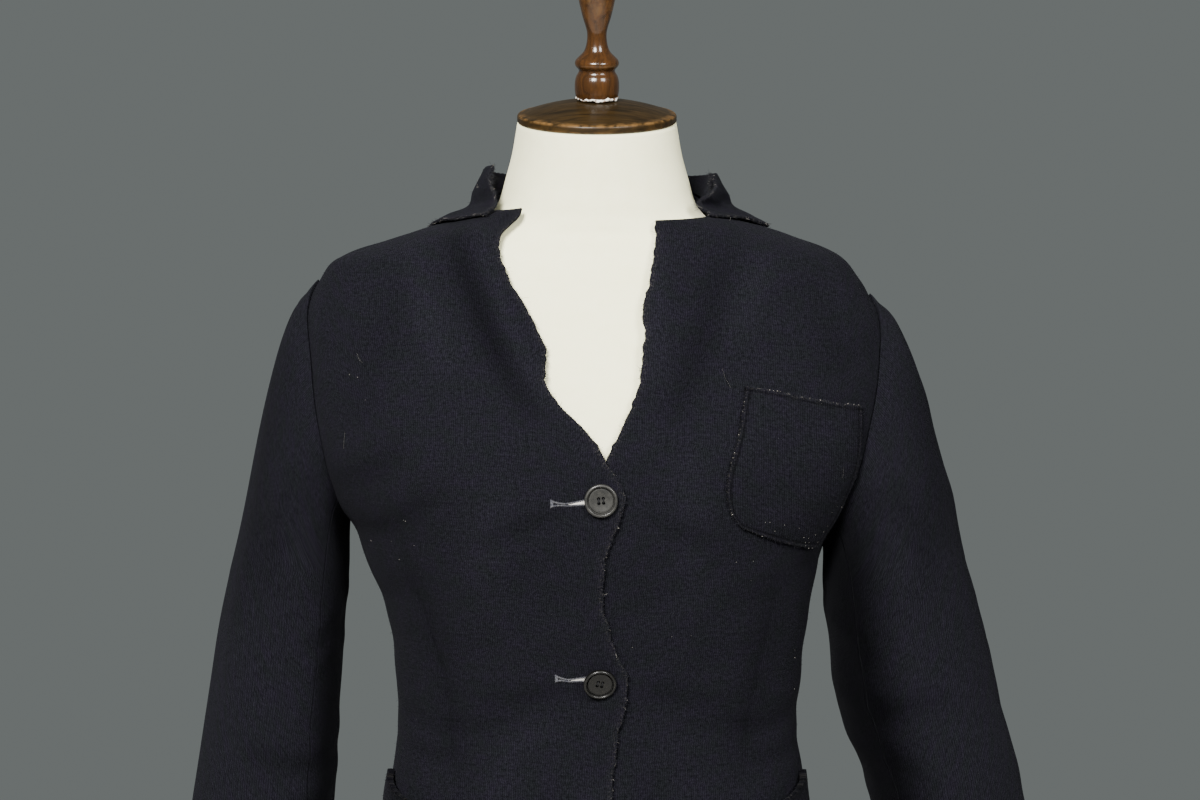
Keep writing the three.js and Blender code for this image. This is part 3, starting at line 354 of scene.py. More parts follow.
def along(rows, key, column, at):
    """A smooth curve through a table: one column's value at places along another."""
    keys = rows[key]
    values = rows[column]
    last = len(keys) - 1
    at = np.clip(at, keys[0], keys[last])
    i = np.clip(np.searchsorted(keys, at, side="right") - 1, 0, last - 1)
    before = np.maximum(np.arange(last + 1) - 1, 0)
    after = np.minimum(np.arange(last + 1) + 1, last)
    slopes = (values[after] - values[before]) / (keys[after] - keys[before])
    step = keys[i + 1] - keys[i]
    t = (at - keys[i]) / step
    start = values[i]
    rise = values[i + 1] - start
    a = slopes[i] * step
    b = slopes[i + 1] * step
    return start + t * (a + t * (3 * rise - 2 * a - b + t * (a + b - 2 * rise)))


def along_stops(pairs, column, t):
    """The same with a table's rows as even stops from 0 to 1."""
    values = np.array([pair[column] for pair in pairs], float)
    return along({"at": np.linspace(0, 1, len(pairs)), "value": values}, "at", "value", t)


def section(column, z):
    return along(BODY, "z", column, z)


def half_width(side, z):
    return np.where(np.asarray(side) > 0, section("left", z), section("right", z))


def turn_at_x(x, z):
    """Turn round the section from the front middle, by the side, to a place x across."""
    side = np.where(np.asarray(x) < 0, -1, 1)
    reach = clamp01(np.abs(x) / half_width(side, z))
    return side * np.arcsin(reach ** (section("square", z) / 2))


def turn_at_depth(depth, z):
    ahead = np.asarray(depth) < 0
    reach = clamp01(np.abs(depth) / np.where(ahead, section("front", z), section("back", z)))
    angle = np.arccos(reach ** (section("square", z) / 2))
    return np.where(ahead, angle, np.pi - angle)


def body_point(turn, z):
    """A point of the blazer's outer surface."""
    side = np.where(np.sin(turn) < 0, -1, 1)
    power = 2 / section("square", z)
    x = side * half_width(side, z) * np.abs(np.sin(turn)) ** power
    ahead = np.cos(turn) > 0
    y = np.where(ahead, -section("front", z), section("back", z)) * np.abs(np.cos(turn)) ** power
    across = (np.abs(x) - BUST["x"]) / BUST["wide"]
    up = (z - BUST["z"]) / BUST["tall"]
    y = y - np.where(ahead, BUST["out"] * np.exp(-across * across - up * up), 0)
    return np.stack([x, y, z + 0 * x], axis=-1)


def body_normal(turn, z):
    around = body_point(turn + 0.01, z) - body_point(turn - 0.01, z)
    up = body_point(turn, z + 0.5 * MM) - body_point(turn, z - 0.5 * MM)
    return unit(np.cross(around, up))


def lay_on_body(side, pattern):
    """Points and normals of the blazer's surface under places of a pattern."""
    turn = side * pattern[..., 0]
    z = pattern[..., 1]
    return body_point(turn, z), body_normal(turn, z)


def crease_lift(across, up, creases):
    """Height of listed troughs and ridges over a surface, fading towards both their ends."""
    lift = np.zeros(np.broadcast(across, up).shape)
    for places, height, width in creases:
        line = smooth_line(np.array(places, float) * MM)
        nearest = np.full(lift.shape, np.inf)
        share = np.zeros(lift.shape)
        for i in range(len(line) - 1):
            span = line[i + 1] - line[i]
            t = clamp01(((across - line[i][0]) * span[0] + (up - line[i][1]) * span[1]) / (span @ span))
            away = np.hypot(across - line[i][0] - t * span[0], up - line[i][1] - t * span[1])
            closer = away < nearest
            nearest = np.where(closer, away, nearest)
            share = np.where(closer, (i + t) / (len(line) - 1), share)
        fade = np.sin(np.pi * clamp01(share)) ** 0.7
        lift += height * MM * fade * np.exp(-((nearest / (width * MM)) ** 2))
    return lift


def smooth_line(points, steps=4):
    """More points on a smooth curve through a few."""
    rows = {"at": np.arange(len(points), dtype=float), "x": points[:, 0], "z": points[:, 1]}
    at = np.linspace(0, len(points) - 1, (len(points) - 1) * steps + 1)
    return np.stack([along(rows, "at", "x", at), along(rows, "at", "z", at)], axis=-1)


def ripple(across, up, seed):
    """Slight unevenness of worn cloth, from a few long waves."""
    draw = random.Random(seed)
    total = np.zeros(np.broadcast(across, up).shape)
    for wave in (95, 62, 41, 29):
        heading = draw.uniform(0, math.pi)
        phase = draw.uniform(0, 2 * math.pi)
        reach = 2 * math.pi / (wave * MM)
        along_wave = across * math.cos(heading) + up * math.sin(heading)
        total += wave / 95 * np.sin(reach * along_wave + phase)
    return 0.55 * MM * total


def jag(at, seed, size):
    """In and out of a raw, unravelling edge at places along it."""
    draw = random.Random(seed)
    total = np.zeros(np.shape(at))
    for wave, share in ((31, 0.6), (17, 0.5), (9.3, 0.45), (5.7, 0.35), (3.4, 0.3)):
        phase = draw.uniform(0, 2 * math.pi)
        total += share * np.sin(2 * math.pi * at / (wave * MM) + phase)
    return size * total


def crowd(count, share):
    """Places from 0 to 1, closer together towards both ends."""
    even = np.linspace(0, 1, count)
    return mix(even, smooth(even), share)


def place(turn, z):
    return np.stack(np.broadcast_arrays(turn, z), axis=-1)


def fill_patch(inner, outer, bottom, top, u, v):
    """A patch of the pattern filled in between its four sides, for every pair of u and v."""
    u = u[None, :]
    v = v[:, None]
    across = u[..., None]
    w = (v * v)[..., None]
    corners = mix(
        mix(bottom(np.zeros_like(u)), bottom(np.ones_like(u)), across),
        mix(top(np.zeros_like(u)), top(np.ones_like(u)), across),
        w,
    )
    return mix(inner(v), outer(v), across) + mix(bottom(u), top(u), w) - corners


def level_up_edge(v, top_z):
    under = (UNDERARM_Z[RIGHT] + UNDERARM_Z[LEFT]) / 2
    above = mix(under, top_z, (v - SPLIT) / (1 - SPLIT))
    return np.where(v < SPLIT, mix(HEM_Z, under, v / SPLIT), above)


def side_of_panel(side, pairs, shift, v):
    """Side seam up to the underarm, then the armhole up to the shoulder tip."""
    t = clamp01((v - SPLIT) / (1 - SPLIT))
    arm_z = mix(UNDERARM_Z[side], SHOULDER_TIP_Z[side], along_stops(pairs, 0, t))
    end = np.maximum(0, 1 - np.minimum(t, 1 - t) * ROWS_ABOVE)
    arm_depth = along_stops(pairs, 1, t) * MM + shift * end
    z = np.where(v < SPLIT, mix(HEM_Z, UNDERARM_Z[side], v / SPLIT), arm_z)
    depth = np.where(v < SPLIT, SIDE_SEAM_DEPTH + shift, arm_depth)
    return place(turn_at_depth(depth, z), z)


def ridge_height(side, x):
    """Height on the shoulder's ridge where the blazer is this wide."""
    heights = np.linspace(SHOULDER_TIP_Z[side], SIDE_NECK_Z, 400)
    return np.interp(x, half_width(side, heights)[::-1], heights[::-1])


def shoulder_line(side, shift, t):
    neck_x = half_width(side, SIDE_NECK_Z)
    tip_x = half_width(side, SHOULDER_TIP_Z[side])
    z = ridge_height(side, mix(neck_x, tip_x, t))
    return place(turn_at_depth(SHOULDER_SEAM_DEPTH + shift, z), z)


def fill_panel(side, armhole, shift, middle, top, u, v):
    """A front or back filled in between its middle edge, straight hem, side and top."""

    def arm_side(v):
        return side_of_panel(side, armhole, shift, v)

    hem_start = middle(np.zeros((1, 1)))[..., 0]
    hem_end = arm_side(np.zeros((1, 1)))[..., 0]

    def hem(u):
        return place(mix(hem_start, hem_end, u), HEM_Z)

    return fill_patch(middle, arm_side, hem, top, u, v)


def front_pattern(side, u, v):
    """Front panel: raw front edge, hem, side seam and armhole, then lapel top and shoulder seam."""
    rows = UNDER_EDGE if side > 0 else OVER_EDGE
    top_z = LAPEL_TOP_Z[side]
    shift = -SEAM_GAP / 2

    def edge(v):
        z = level_up_edge(v, top_z)
        x = along(rows, "z", "x", z) - side * jag(z, side, 0.65 * MM)
        return place(side * turn_at_x(x, z), z)

    def top(u):
        t = clamp01(u / FRONT_NECK_SHARE)
        neck_z = mix(top_z, SIDE_NECK_Z, smooth(t))
        start = side * turn_at_x(side * LAPEL_TIP_X[side], top_z)
        neck_turn = mix(start, turn_at_depth(SHOULDER_SEAM_DEPTH + shift, SIDE_NECK_Z), t)
        shoulder = shoulder_line(side, shift, clamp01((u - FRONT_NECK_SHARE) / (1 - FRONT_NECK_SHARE)))
        return np.where((u < FRONT_NECK_SHARE)[..., None], place(neck_turn, neck_z), shoulder)

    return fill_panel(side, ARMHOLE_FRONT, shift, edge, top, u, v)


def back_pattern(side, u, v):
    """Back panel: centre back seam, hem, side seam and armhole, then back neck and shoulder seam."""
    shift = SEAM_GAP / 2

    def middle_turn(z):
        return np.pi - np.arcsin((shift / half_width(side, z)) ** (section("square", z) / 2))

    def middle(v):
        z = level_up_edge(v, BACK_NECK_Z)
        return place(middle_turn(z), z)

    def top(u):
        t = clamp01(u / BACK_NECK_SHARE)
        neck_z = mix(BACK_NECK_Z, SIDE_NECK_Z, t * t * t)
        side_neck = turn_at_depth(SHOULDER_SEAM_DEPTH + shift, SIDE_NECK_Z)
        neck_turn = mix(middle_turn(BACK_NECK_Z), side_neck, t)
        shoulder = shoulder_line(side, shift, clamp01((u - BACK_NECK_SHARE) / (1 - BACK_NECK_SHARE)))
        return np.where((u < BACK_NECK_SHARE)[..., None], place(neck_turn, neck_z), shoulder)

    return fill_panel(side, ARMHOLE_BACK, shift, middle, top, u, v)


def overlap_lift(side, x):
    """How far the right front stands off to pass over the left one."""
    if side > 0:
        return 0
    return OVERLAP["lift"] * smooth(clamp01((x - OVERLAP["from_x"]) / OVERLAP["ramp"]))


# Lift of each front at places across and up, filled when the front is built
front_lifts = {}


def lift_on_front(side, point):
    """Lift of a front where something lies on it, between the nearest three of its points."""
    tree, lifts = front_lifts[side]
    flat = point.reshape(-1, 3)
    result = np.empty(len(flat))
    for i, (x, _, z) in enumerate(flat):
        near = tree.find_n((x, 0, z), 3)
        weights = np.array([1 / (distance + 0.01 * MM) for _, _, distance in near])
        result[i] = weights @ lifts[[index for _, index, _ in near]] / weights.sum()
    return result.reshape(point.shape[:-1])


def keep_lifts(side, point, lift):
    tree = kdtree.KDTree(lift.size)
    for index, (x, _, z) in enumerate(point.reshape(-1, 3)):
        tree.insert((x, 0, z), index)
    tree.balance()
    front_lifts[side] = (tree, lift.ravel())


def run_along(grid, axis):
    """Length run along the rows or columns of a grid, from its start."""
    steps = np.linalg.norm(np.diff(grid, axis=axis), axis=-1)
    return np.concatenate([np.zeros_like(np.take(steps, [0], axis)), np.cumsum(steps, axis)], axis)


def edge_distances(grid):
    """Distance of each point to the left, right, bottom and top edge of its grid."""
    across = run_along(grid, 1)
    up = run_along(grid, 0)
    return {"left": across, "right": across[:, -1:] - across, "bottom": up, "top": up[-1:] - up}


def seam_fade(grid, names):
    """Lets creases run out before a sewn edge, so that both of its pieces meet there."""
    away = edge_distances(grid)
    nearest = np.min([away[name] + np.zeros(grid.shape[:2]) for name in names], axis=0)
    return smooth(clamp01(nearest / CREASE_FADE))


def seam_dip(grid, seams):
    """Cloth drawn in along the sewn edges of a panel, each by its own depth."""
    away = edge_distances(grid)
    dip = np.zeros(grid.shape[:2])
    for name, deep in seams.items():
        dip = np.maximum(dip, deep * np.exp(-((away[name] / SEAM_DIP["wide"]) ** 2)))
    return -dip


def shoulder_dip(grid, neck_share):
    """The same along a panel's top, from the end of its neck to the shoulder tip."""
    sewn = np.linspace(0, 1, grid.shape[1]) > neck_share
    shape = np.exp(-((edge_distances(grid)["top"] / SEAM_DIP["wide"]) ** 2))
    return -SEAM_DIP["deep"] * shape * sewn[None, :]


def side_dip(rows):
    """Deep along the side seam, hardly any round the armhole, for each row of a panel."""
    up = panel_rows(*rows)[:, None]
    return mix(SEAM_DIP["deep"], SEAM_DIP["armhole"], smooth(clamp01((up - SPLIT) / 0.04)))


def fold_shade(lift, shaded=0):
    """Painted shade in a fold, from 0 to 1, plus any shade given; below nought, a painted highlight on
    a ridge.
    """
    return np.clip(shaded - lift / FOLD_SHADE_DEPTH, -0.5, 1)


def border_of(rows, columns):
    """Row and column of each border point, once round."""
    bottom = [(0, c) for c in range(columns)]
    right = [(r, columns - 1) for r in range(1, rows)]
    top = [(rows - 1, c) for c in range(columns - 2, -1, -1)]
    left = [(r, 0) for r in range(rows - 2, 0, -1)]
    return bottom + right + top + left


def cloth_piece(name, outer, normals, raw, thickness=CLOTH, across=None, hollow=None):
    """A thin closed shell on the grid of its outer side, with a soft rim round its four edges.
    raw names the cut edges; the others are sewn. across is the weave's own coordinate, and the last
    argument gives the painted shade from 0 to 1 in folds, with a painted highlight below nought."""
    rows, columns = outer.shape[:2]
    inner = outer - normals * thickness
    border = border_of(rows, columns)
    r, c = np.array(border).T
    inward = outer[np.clip(r, 1, rows - 2), np.clip(c, 1, columns - 2)]
    outward = unit(outer[r, c] - inward)
    away = edge_distances(outer)
    raw_mask = np.zeros((rows, columns))
    for edge in raw:
        raw_mask = np.maximum(raw_mask, np.exp(-away[edge] / TORN_REACH))
    on_raw = raw_mask[r, c][:, None] > 0.5
    roll = np.where(on_raw, RIM_ROLL["raw"], RIM_ROLL["sewn"])
    steps = (0.18, 0.5, 0.82)
    rims = [
        mix(outer[r, c], inner[r, c], share) + outward * roll * math.sin(math.pi * share)
        for share in steps
    ]
    vertices = np.concatenate([outer.reshape(-1, 3), inner.reshape(-1, 3)] + rims)
    count = rows * columns
    index = np.arange(count).reshape(rows, columns)
    a = index[:-1, :-1].ravel()
    b = index[:-1, 1:].ravel()
    d = index[1:, :-1].ravel()
    e = index[1:, 1:].ravel()
    faces = [np.stack([a, b, e, d], 1), np.stack([a, d, e, b], 1) + count]
    ring = len(border)
    starts = 2 * count + ring * np.arange(len(steps))
    loops = [index[r, c]] + [start + np.arange(ring) for start in starts] + [index[r, c] + count]
    for near, far in zip(loops[:-1], loops[1:]):
        faces.append(np.stack([np.roll(near, -1), near, far, np.roll(far, -1)], 1))
    faces = np.concatenate(faces)
    if across is None:
        across = away["left"] - away["left"][:, -1:] / 2
    weave = np.stack([across, away["bottom"]], -1)
    weave_points = np.concatenate([weave.reshape(-1, 2)] * 2 + [weave[r, c]] * len(steps))
    mask = np.concatenate([raw_mask.ravel()] * 2 + [raw_mask[r, c]] * len(steps))
    # Painted shade at every point, from 0 to 1, and painted highlight below nought
    if hollow is None:
        hollow = np.zeros((rows, columns))
    painted_shading = np.concatenate([hollow.ravel()] * 2 + [hollow[r, c]] * len(steps))
    return woven_piece(name, vertices, faces, weave_points, {"raw": mask, "hollow": painted_shading})


def from_parts(name, vertices, faces, attributes=None):
    """A smooth mesh object from points and faces of any size, with named values for each point."""
    mesh = bpy.data.meshes.new(name)
    mesh.from_pydata(vertices, [], faces)
    mesh.validate()
    mesh.shade_smooth()
    for key, values in (attributes or {}).items():
        attribute = mesh.attributes.new(key, "FLOAT", "POINT")
        attribute.data.foreach_set("value", np.asarray(values, np.float32))
    piece = bpy.data.objects.new(name, mesh)
    bpy.context.collection.objects.link(piece)
    return piece


def woven_piece(name, vertices, faces, weave_points, attributes):
    """A closed mesh object of cloth, turned to face outwards, with its weave's coordinates."""
    first, second, third = (vertices[faces[:, i]] for i in range(3))
    volume = np.einsum("ij,ij->", first, np.cross(second, third))
    if faces.shape[1] == 4:
        volume += np.einsum("ij,ij->", first, np.cross(third, vertices[faces[:, 3]]))
    if volume < 0:
        faces = faces[:, ::-1]
    piece = from_parts(name, vertices.tolist(), faces.tolist(), attributes)
    loops = np.empty(len(piece.data.loops), dtype=np.int32)
    piece.data.loops.foreach_get("vertex_index", loops)
    layer = piece.data.uv_layers.new(name="weave")
    layer.data.foreach_set("uv", weave_points[loops].astype(np.float32).ravel())
    return piece


def finish_piece(piece, node):
    """Every piece rides on the one body; some stand in for a solid."""
    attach(piece, "root")
    if node:
        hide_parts(node)


def declare_cloth(piece, node, outer):
    """Stands in for its solid and states its flat cut, as measured on the piece."""
    finish_piece(piece, node)
    across = np.linalg.norm(np.diff(outer, axis=1), axis=-1)
    up = np.linalg.norm(np.diff(outer, axis=0), axis=-1)
    width = float(across.sum(axis=1).max())
    length = float(up.sum(axis=0).max())
    corner = outer[:-1, :-1]
    diagonal = outer[1:, 1:] - corner
    first = np.cross(outer[:-1, 1:] - corner, diagonal)
    second = np.cross(diagonal, outer[1:, :-1] - corner)
    area = float(np.linalg.norm(first, axis=-1).sum() + np.linalg.norm(second, axis=-1).sum()) / 2
    area = min(area, width * length)
    print(f"cut of {piece.name}: {width * 1000:.0f} x {length * 1000:.0f} mm, {area:.4f} m2")


# Every cloth grid that fibres and lint are laid on later
cloth_grids = {}


def lay_cloth(name, outer, normal, raw, held, rests_on, **shell):
    """A finished cloth piece on the grid of its outer side, which is kept for the fibres."""
    piece = cloth_piece(f"{name}_cloth", outer, normal, raw, **shell)
    declare_cloth(piece, name, outer)
    cloth_grids[name] = (outer, normal, raw)
    return piece


def panel_rows(below, above):
    low = np.linspace(0, SPLIT, below, endpoint=False)
    high = mix(SPLIT, 1, np.linspace(0, 1, above))
    return np.concatenate([low, high])


def front_edge_curl(side, z, from_edge):
    """The raw front edge curls in waves, freely in the lapel and hardly at all below it."""
    curl = 1.3 * MM * np.sin(z / (23 * MM) + side) + 0.7 * MM * np.sin(z / (9.5 * MM) + 2 * side)
    free = smooth(clamp01((z - LAPEL_CURL["from_z"]) / LAPEL_CURL["ramp"]))
    rise = 0.6 * MM * free if side > 0 else 1.0 * MM
    return np.exp(-from_edge / LAPEL_CURL["reach"]) * ((0.25 + 0.75 * free) * curl + rise)


def build_front(side):
    rows = FRONT_GRID["rows"]
    pattern = front_pattern(side, crowd(FRONT_GRID["columns"], 0.6), panel_rows(*rows))
    point, normal = lay_on_body(side, pattern)
    across = point[..., 0]
    z = point[..., 2]
    from_edge = edge_distances(point)["left"]
    dart = ((DARTS[side], DART_DIP["deep"], DART_DIP["wide"]),)
    lift = crease_lift(across, z, FRONT_CREASES[side] + dart)
    # Painted shade in the troughs and along the dart, painted highlight on the ridges
    hollow = fold_shade(lift)
    lift = (lift + ripple(across, z, side)) * seam_fade(point, ("right", "top"))
    lift += overlap_lift(side, across)
    lift += seam_dip(point, {"right": side_dip(rows)})
    lift += shoulder_dip(point, FRONT_NECK_SHARE)
    lift += front_edge_curl(side, z, from_edge)
    keep_lifts(side, point, lift)
    outer = point + normal * lift[..., None]
    edge_rows = UNDER_EDGE if side > 0 else OVER_EDGE
    grain = from_edge + side * along(edge_rows, "z", "x", z[:, :1])
    name = f"front_{SIDE_NAMES[side]}"
    look = {"across": grain, "hollow": hollow}
    return lay_cloth(name, outer, normal, ("left", "bottom"), "draped", ("form",), **look)


def build_back(side):
    rows = BACK_GRID["rows"]
    pattern = back_pattern(side, crowd(BACK_GRID["columns"], 0.5), panel_rows(*rows))
    point, normal = lay_on_body(side, pattern)
    across = point[..., 0]
    z = point[..., 2]
    lift = crease_lift(across, z, BACK_CREASES[side])
    # Painted shade in the troughs, painted highlight on the ridges
    hollow = fold_shade(lift)
    lift = (lift + ripple(across, z, 5 + side)) * seam_fade(point, ("left", "right", "top"))
    lift += seam_dip(point, {"left": SEAM_DIP["deep"], "right": side_dip(rows)})
    lift += shoulder_dip(point, BACK_NECK_SHARE)
    outer = point + normal * lift[..., None]
    name = f"back_{SIDE_NAMES[side]}"
    look = {"across": edge_distances(point)["left"], "hollow": hollow}
    return lay_cloth(name, outer, normal, ("bottom",), "draped", ("form",), **look)


def armhole_line(side, s):
    """Points and body normals round the armhole, from the shoulder tip down the front, up the back."""
    v = mix(SPLIT, 1, np.abs(1 - 2 * s))
    front = side_of_panel(side, ARMHOLE_FRONT, -SEAM_GAP / 2, v)
    back = side_of_panel(side, ARMHOLE_BACK, SEAM_GAP / 2, v)
    return lay_on_body(side, np.where((s < 0.5)[..., None], front, back))


def sleeve_ring(side, angle, z):
    """Points round the hanging sleeve, from its outer side by the front."""
    inner, outer, middle, half_depth = (
        along(SLEEVES[side], "z", column, z) for column in ("inner", "outer", "middle", "half")
    )
    power = 2 / SLEEVE_SQUARE
    c = np.cos(angle)
    s = np.sin(angle)
    centre = (inner + outer) / 2
    half = (outer - inner) / 2
    x = side * (centre + half * np.sign(c) * np.abs(c) ** power)
    y = middle - half_depth * np.sign(s) * np.abs(s) ** power
    return np.stack([x, y, z + 0 * x], axis=-1)


def sleeve_surface(side, s):
    """The sleeve's grid: rows from the armhole to the cuff, columns at places s round the loop."""
    rows = SLEEVES[side]
    top_z = rows["z"][-1]
    cuff_z = rows["z"][0]
    start, seam_normal = armhole_line(side, s % 1.0)
    angle = 2 * np.pi * s
    high = (1 + np.cos(angle)) / 2
    end = sleeve_ring(side, angle, np.full_like(angle, top_z))
    out = mix(HEAD["out_under"], HEAD["out_top"], high)
    drop = mix(HEAD["drop_under"], HEAD["drop_top"], high)
    leave = np.stack([side * out, -np.sin(angle) * HEAD["swell"], -drop], -1) * MM
    rise = mix(HEAD["rise_under"], HEAD["rise_top"], high**1.5) * MM
    aside = leave * (1, 1, 0.5) + np.array([side * HEAD["out_top"] * MM / 3, 0, 0])
    begin = start + unit(aside) * ARMHOLE_GAP
    arrive = np.stack([-side * rise * mix(0.08, 0.235, high), 0 * rise, rise], -1)
    controls = (begin, begin + leave, end + arrive, end)
    t = crowd(SLEEVE_GRID["head_rows"], 0.3)[:-1, None, None]
    weights = ((1 - t) ** 3, 3 * t * (1 - t) ** 2, 3 * t * t * (1 - t), t**3)
    head = sum(weight * control[None] for weight, control in zip(weights, controls))
    levels = mix(top_z, cuff_z, np.linspace(0, 1, SLEEVE_GRID["arm_rows"]))[:, None]
    arm = sleeve_ring(side, angle[None, :], levels + 0 * angle[None, :])
    return np.concatenate([head, arm]), seam_normal


def sleeve_normals(side, s, grid, seam_normal):
    """Outward normals; over a ridge from the body, the first edge takes the body's own normal."""
    ahead = sleeve_surface(side, s + 0.004)[0]
    behind = sleeve_surface(side, s - 0.004)[0]
    down = np.gradient(grid, axis=0)
    own = unit(np.cross(ahead - behind, down)) * -side
    leaving = unit(grid[1] - grid[0])
    over_ridge = np.einsum("ij,ij->i", own[0] - seam_normal, leaving) > 0
    own[0] = np.where(over_ridge[:, None], seam_normal, own[0])
    return own


def build_sleeve(side, part):
    """The upper sleeve passes over the outer side, and the under sleeve is next to the body."""
    front_seam = SLEEVE_SEAMS["front"]
    back_seam = SLEEVE_SEAMS["back"]
    columns = crowd(SLEEVE_GRID[part], 0.4)
    if part == "upper":
        s = mix(back_seam, 1 + front_seam, columns)
    else:
        s = mix(front_seam, back_seam, columns)
    grid, seam_normal = sleeve_surface(side, s)
    normal = sleeve_normals(side, s, grid, seam_normal)
    grid[:, 0] += unit(grid[:, 1] - grid[:, 0]) * SEAM_GAP / 2
    grid[:, -1] += unit(grid[:, -2] - grid[:, -1]) * SEAM_GAP / 2
    degrees = np.degrees(2 * np.pi * s) % 360
    across = degrees[None, :] * DEGREE_MM * MM + 0 * grid[..., 2]
    up = grid[..., 2]
    creases = [
        (tuple((turn * DEGREE_MM, z) for turn, z in places), height, width)
        for places, height, width in SLEEVE_CREASES[side]
    ]
    away = edge_distances(grid)
    fade = seam_fade(grid, ("left", "right", "bottom"))
    lift = crease_lift(across, up, creases) * smooth(clamp01(away["bottom"] / (16 * MM)))
    # Painted shade on the inner side of the sleeve, next to the body, and in the creases' troughs;
    # painted highlight on their ridges
    inside = np.abs(degrees - INNER_SHADE_MIDDLE)[None, :] + 0 * up
    shaded = 1 - smooth(clamp01((inside - INNER_SHADE[side]["full"]) / INNER_SHADE[side]["fade"]))
    hollow = fold_shade(lift, shaded)
    sewn = {"left": SEAM_DIP["sleeve"], "right": SEAM_DIP["sleeve"], "bottom": SEAM_DIP["armhole"]}
    lift += ripple(across, up, 9 + side) * fade + seam_dip(grid, sewn)
    # The head stands up a little beyond the armhole seam, round the shoulder tip
    crown = np.clip(1 - np.abs(degrees - 360 * (degrees > 180)) / 80, 0, 1)
    lift += 1.2 * MM * crown[None, :] * np.exp(-(((away["bottom"] - 9 * MM) / (6 * MM)) ** 2))
    outer = grid + normal * lift[..., None]
    outer[-1, :, 2] += jag(across[-1], 3 + side, 0.5 * MM)
    name = f"sleeve_{part}_{SIDE_NAMES[side]}"
    rests_on = ("form", f"front_{SIDE_NAMES[side]}_cloth")
    return lay_cloth(name, outer, normal, ("top",), "draped", rests_on, hollow=hollow)


def spaced_curve(controls, count):
    """Even places along a smooth curve through controls, which have columns of points each."""
    points = [2 * controls[0] - controls[1]] + list(controls) + [2 * controls[-1] - controls[-2]]
    samples = []
    for p0, p1, p2, p3 in zip(points[:-3], points[1:-2], points[2:-1], points[3:]):
        pairs = ((p0, p1), (p1, p2), (p2, p3))
        gaps = [np.maximum(np.linalg.norm(b - a, axis=-1) ** 0.5, 1e-6)[:, None] for a, b in pairs]
        leave = (p1 - p0) / gaps[0] - (p2 - p0) / (gaps[0] + gaps[1]) + (p2 - p1) / gaps[1]
        arrive = (p2 - p1) / gaps[1] - (p3 - p1) / (gaps[1] + gaps[2]) + (p3 - p2) / gaps[2]
        leave = leave * gaps[1]
        arrive = arrive * gaps[1]
        for t in np.linspace(0, 1, 24, endpoint=False):
            blend = 2 * t**3 - 3 * t**2 + 1
            ends = blend * p1 + (t**3 - 2 * t**2 + t) * leave + (1 - blend) * p2
            samples.append(ends + (t**3 - t**2) * arrive)
    samples.append(controls[-1])
    samples = np.array(samples)
    run = run_along(samples, 0)
    result = np.empty((count, samples.shape[1], 3))
    for c in range(samples.shape[1]):
        places = np.linspace(0, run[-1, c], count)
        for k in range(3):
            result[:, c, k] = np.interp(places, run[:, c], samples[:, c, k])
    return result


def lifted(turn, z, lift):
    """Points off the blazer's surface by a lift."""
    return body_point(turn, z) + body_normal(turn, z) * np.asarray(lift)[..., None]


def collar_surface(t):
    """The collar's grid: columns at places t from the right end to the left one, rows from the neck
    seam up the stand, over the roll and down the fall to the outer edge."""
    side = np.where(t < 0, -1, 1)
    degrees = mix(COLLAR["turn"][-1], COLLAR["turn"][0], np.abs(t))
    at = {column: along(COLLAR, "turn", column, degrees) for column in COLLAR}
    turn, roll_turn, fall_turn, edge_turn = (
        side * np.radians(at[column]) for column in ("turn", "roll_turn", "fall_turn", "edge_turn")
    )
    out, drop = (
        np.where(side > 0, COLLAR_LEAN[LEFT][key], COLLAR_LEAN[RIGHT][key]) * t * t
        for key in ("out", "drop")
    )
    seam = body_point(turn, at["seam"]) + np.array([0, 0, SEAM_GAP + 0.2 * MM])
    roll = body_point(roll_turn, COLLAR_ROLL_LEVEL + 0 * turn)
    roll[:, 2] = at["roll"] - drop
    outward = unit(roll * (1, 1, 0))
    out = out[:, None]
    roll += outward * out
    stand_top = roll - outward * (0.3 * MM + 0.15 * out)
    stand_top[:, 2] = mix(seam[:, 2], roll[:, 2], 0.84)
    fold_out = mix(5.6, 4.4, t * t)[:, None] * MM
    fall_top = roll + outward * fold_out - np.array([0, 0, 8 * MM])
    fall = lifted(fall_turn, at["mid"], at["lift"]) + outward * out
    steep = mix(fall_top, fall, 0.5) + outward * 1.2 * MM
    low_turn = mix(fall_turn, edge_turn, 0.6)
    low = lifted(low_turn, mix(at["mid"], at["edge"], 0.6), WALL + 3.2 * MM + 0 * turn)
    edge = lifted(edge_turn, at["edge"], WALL + SEAM_GAP + 0.5 * MM + 0 * turn)
    controls = [seam, stand_top, roll, fall_top, steep, fall, low, edge]
    return spaced_curve(controls, COLLAR_GRID["rows"])


def build_collar():
    """Its stand rises from the neck seam, rolls over and falls back onto the shoulders."""
    grid = collar_surface(crowd(COLLAR_GRID["columns"], 0.35) * 2 - 1)
    around = np.gradient(grid, axis=1)
    up = np.gradient(grid, axis=0)
    normal = unit(np.cross(around, up))
    away = edge_distances(grid)
    arc = run_along(grid, 1)
    wobble = 0.8 * MM * np.sin(arc / (17 * MM)) + 0.5 * MM * np.sin(arc / (7.1 * MM) + 1.3)
    lift = np.exp(-away["top"] / (8 * MM)) * wobble
    outer = grid + normal * lift[..., None]
    run_up = away["bottom"]
    outer[:, 0] += unit(outer[:, 1] - outer[:, 0]) * jag(run_up[:, 0], 21, 0.6 * MM)[:, None]
    outer[:, -1] += unit(outer[:, -2] - outer[:, -1]) * jag(run_up[:, -1], 22, 0.6 * MM)[:, None]
    outer[-1] += unit(outer[-2] - outer[-1]) * jag(arc[-1], 23, 0.5 * MM)[:, None]
    cut = ("left", "right", "top")
    rests_on = ("front_right_cloth", "front_left_cloth")
    grain = arc - arc[:, -1:] / 2
    return lay_cloth("collar", outer, normal, cut, "folded", rests_on, across=grain)


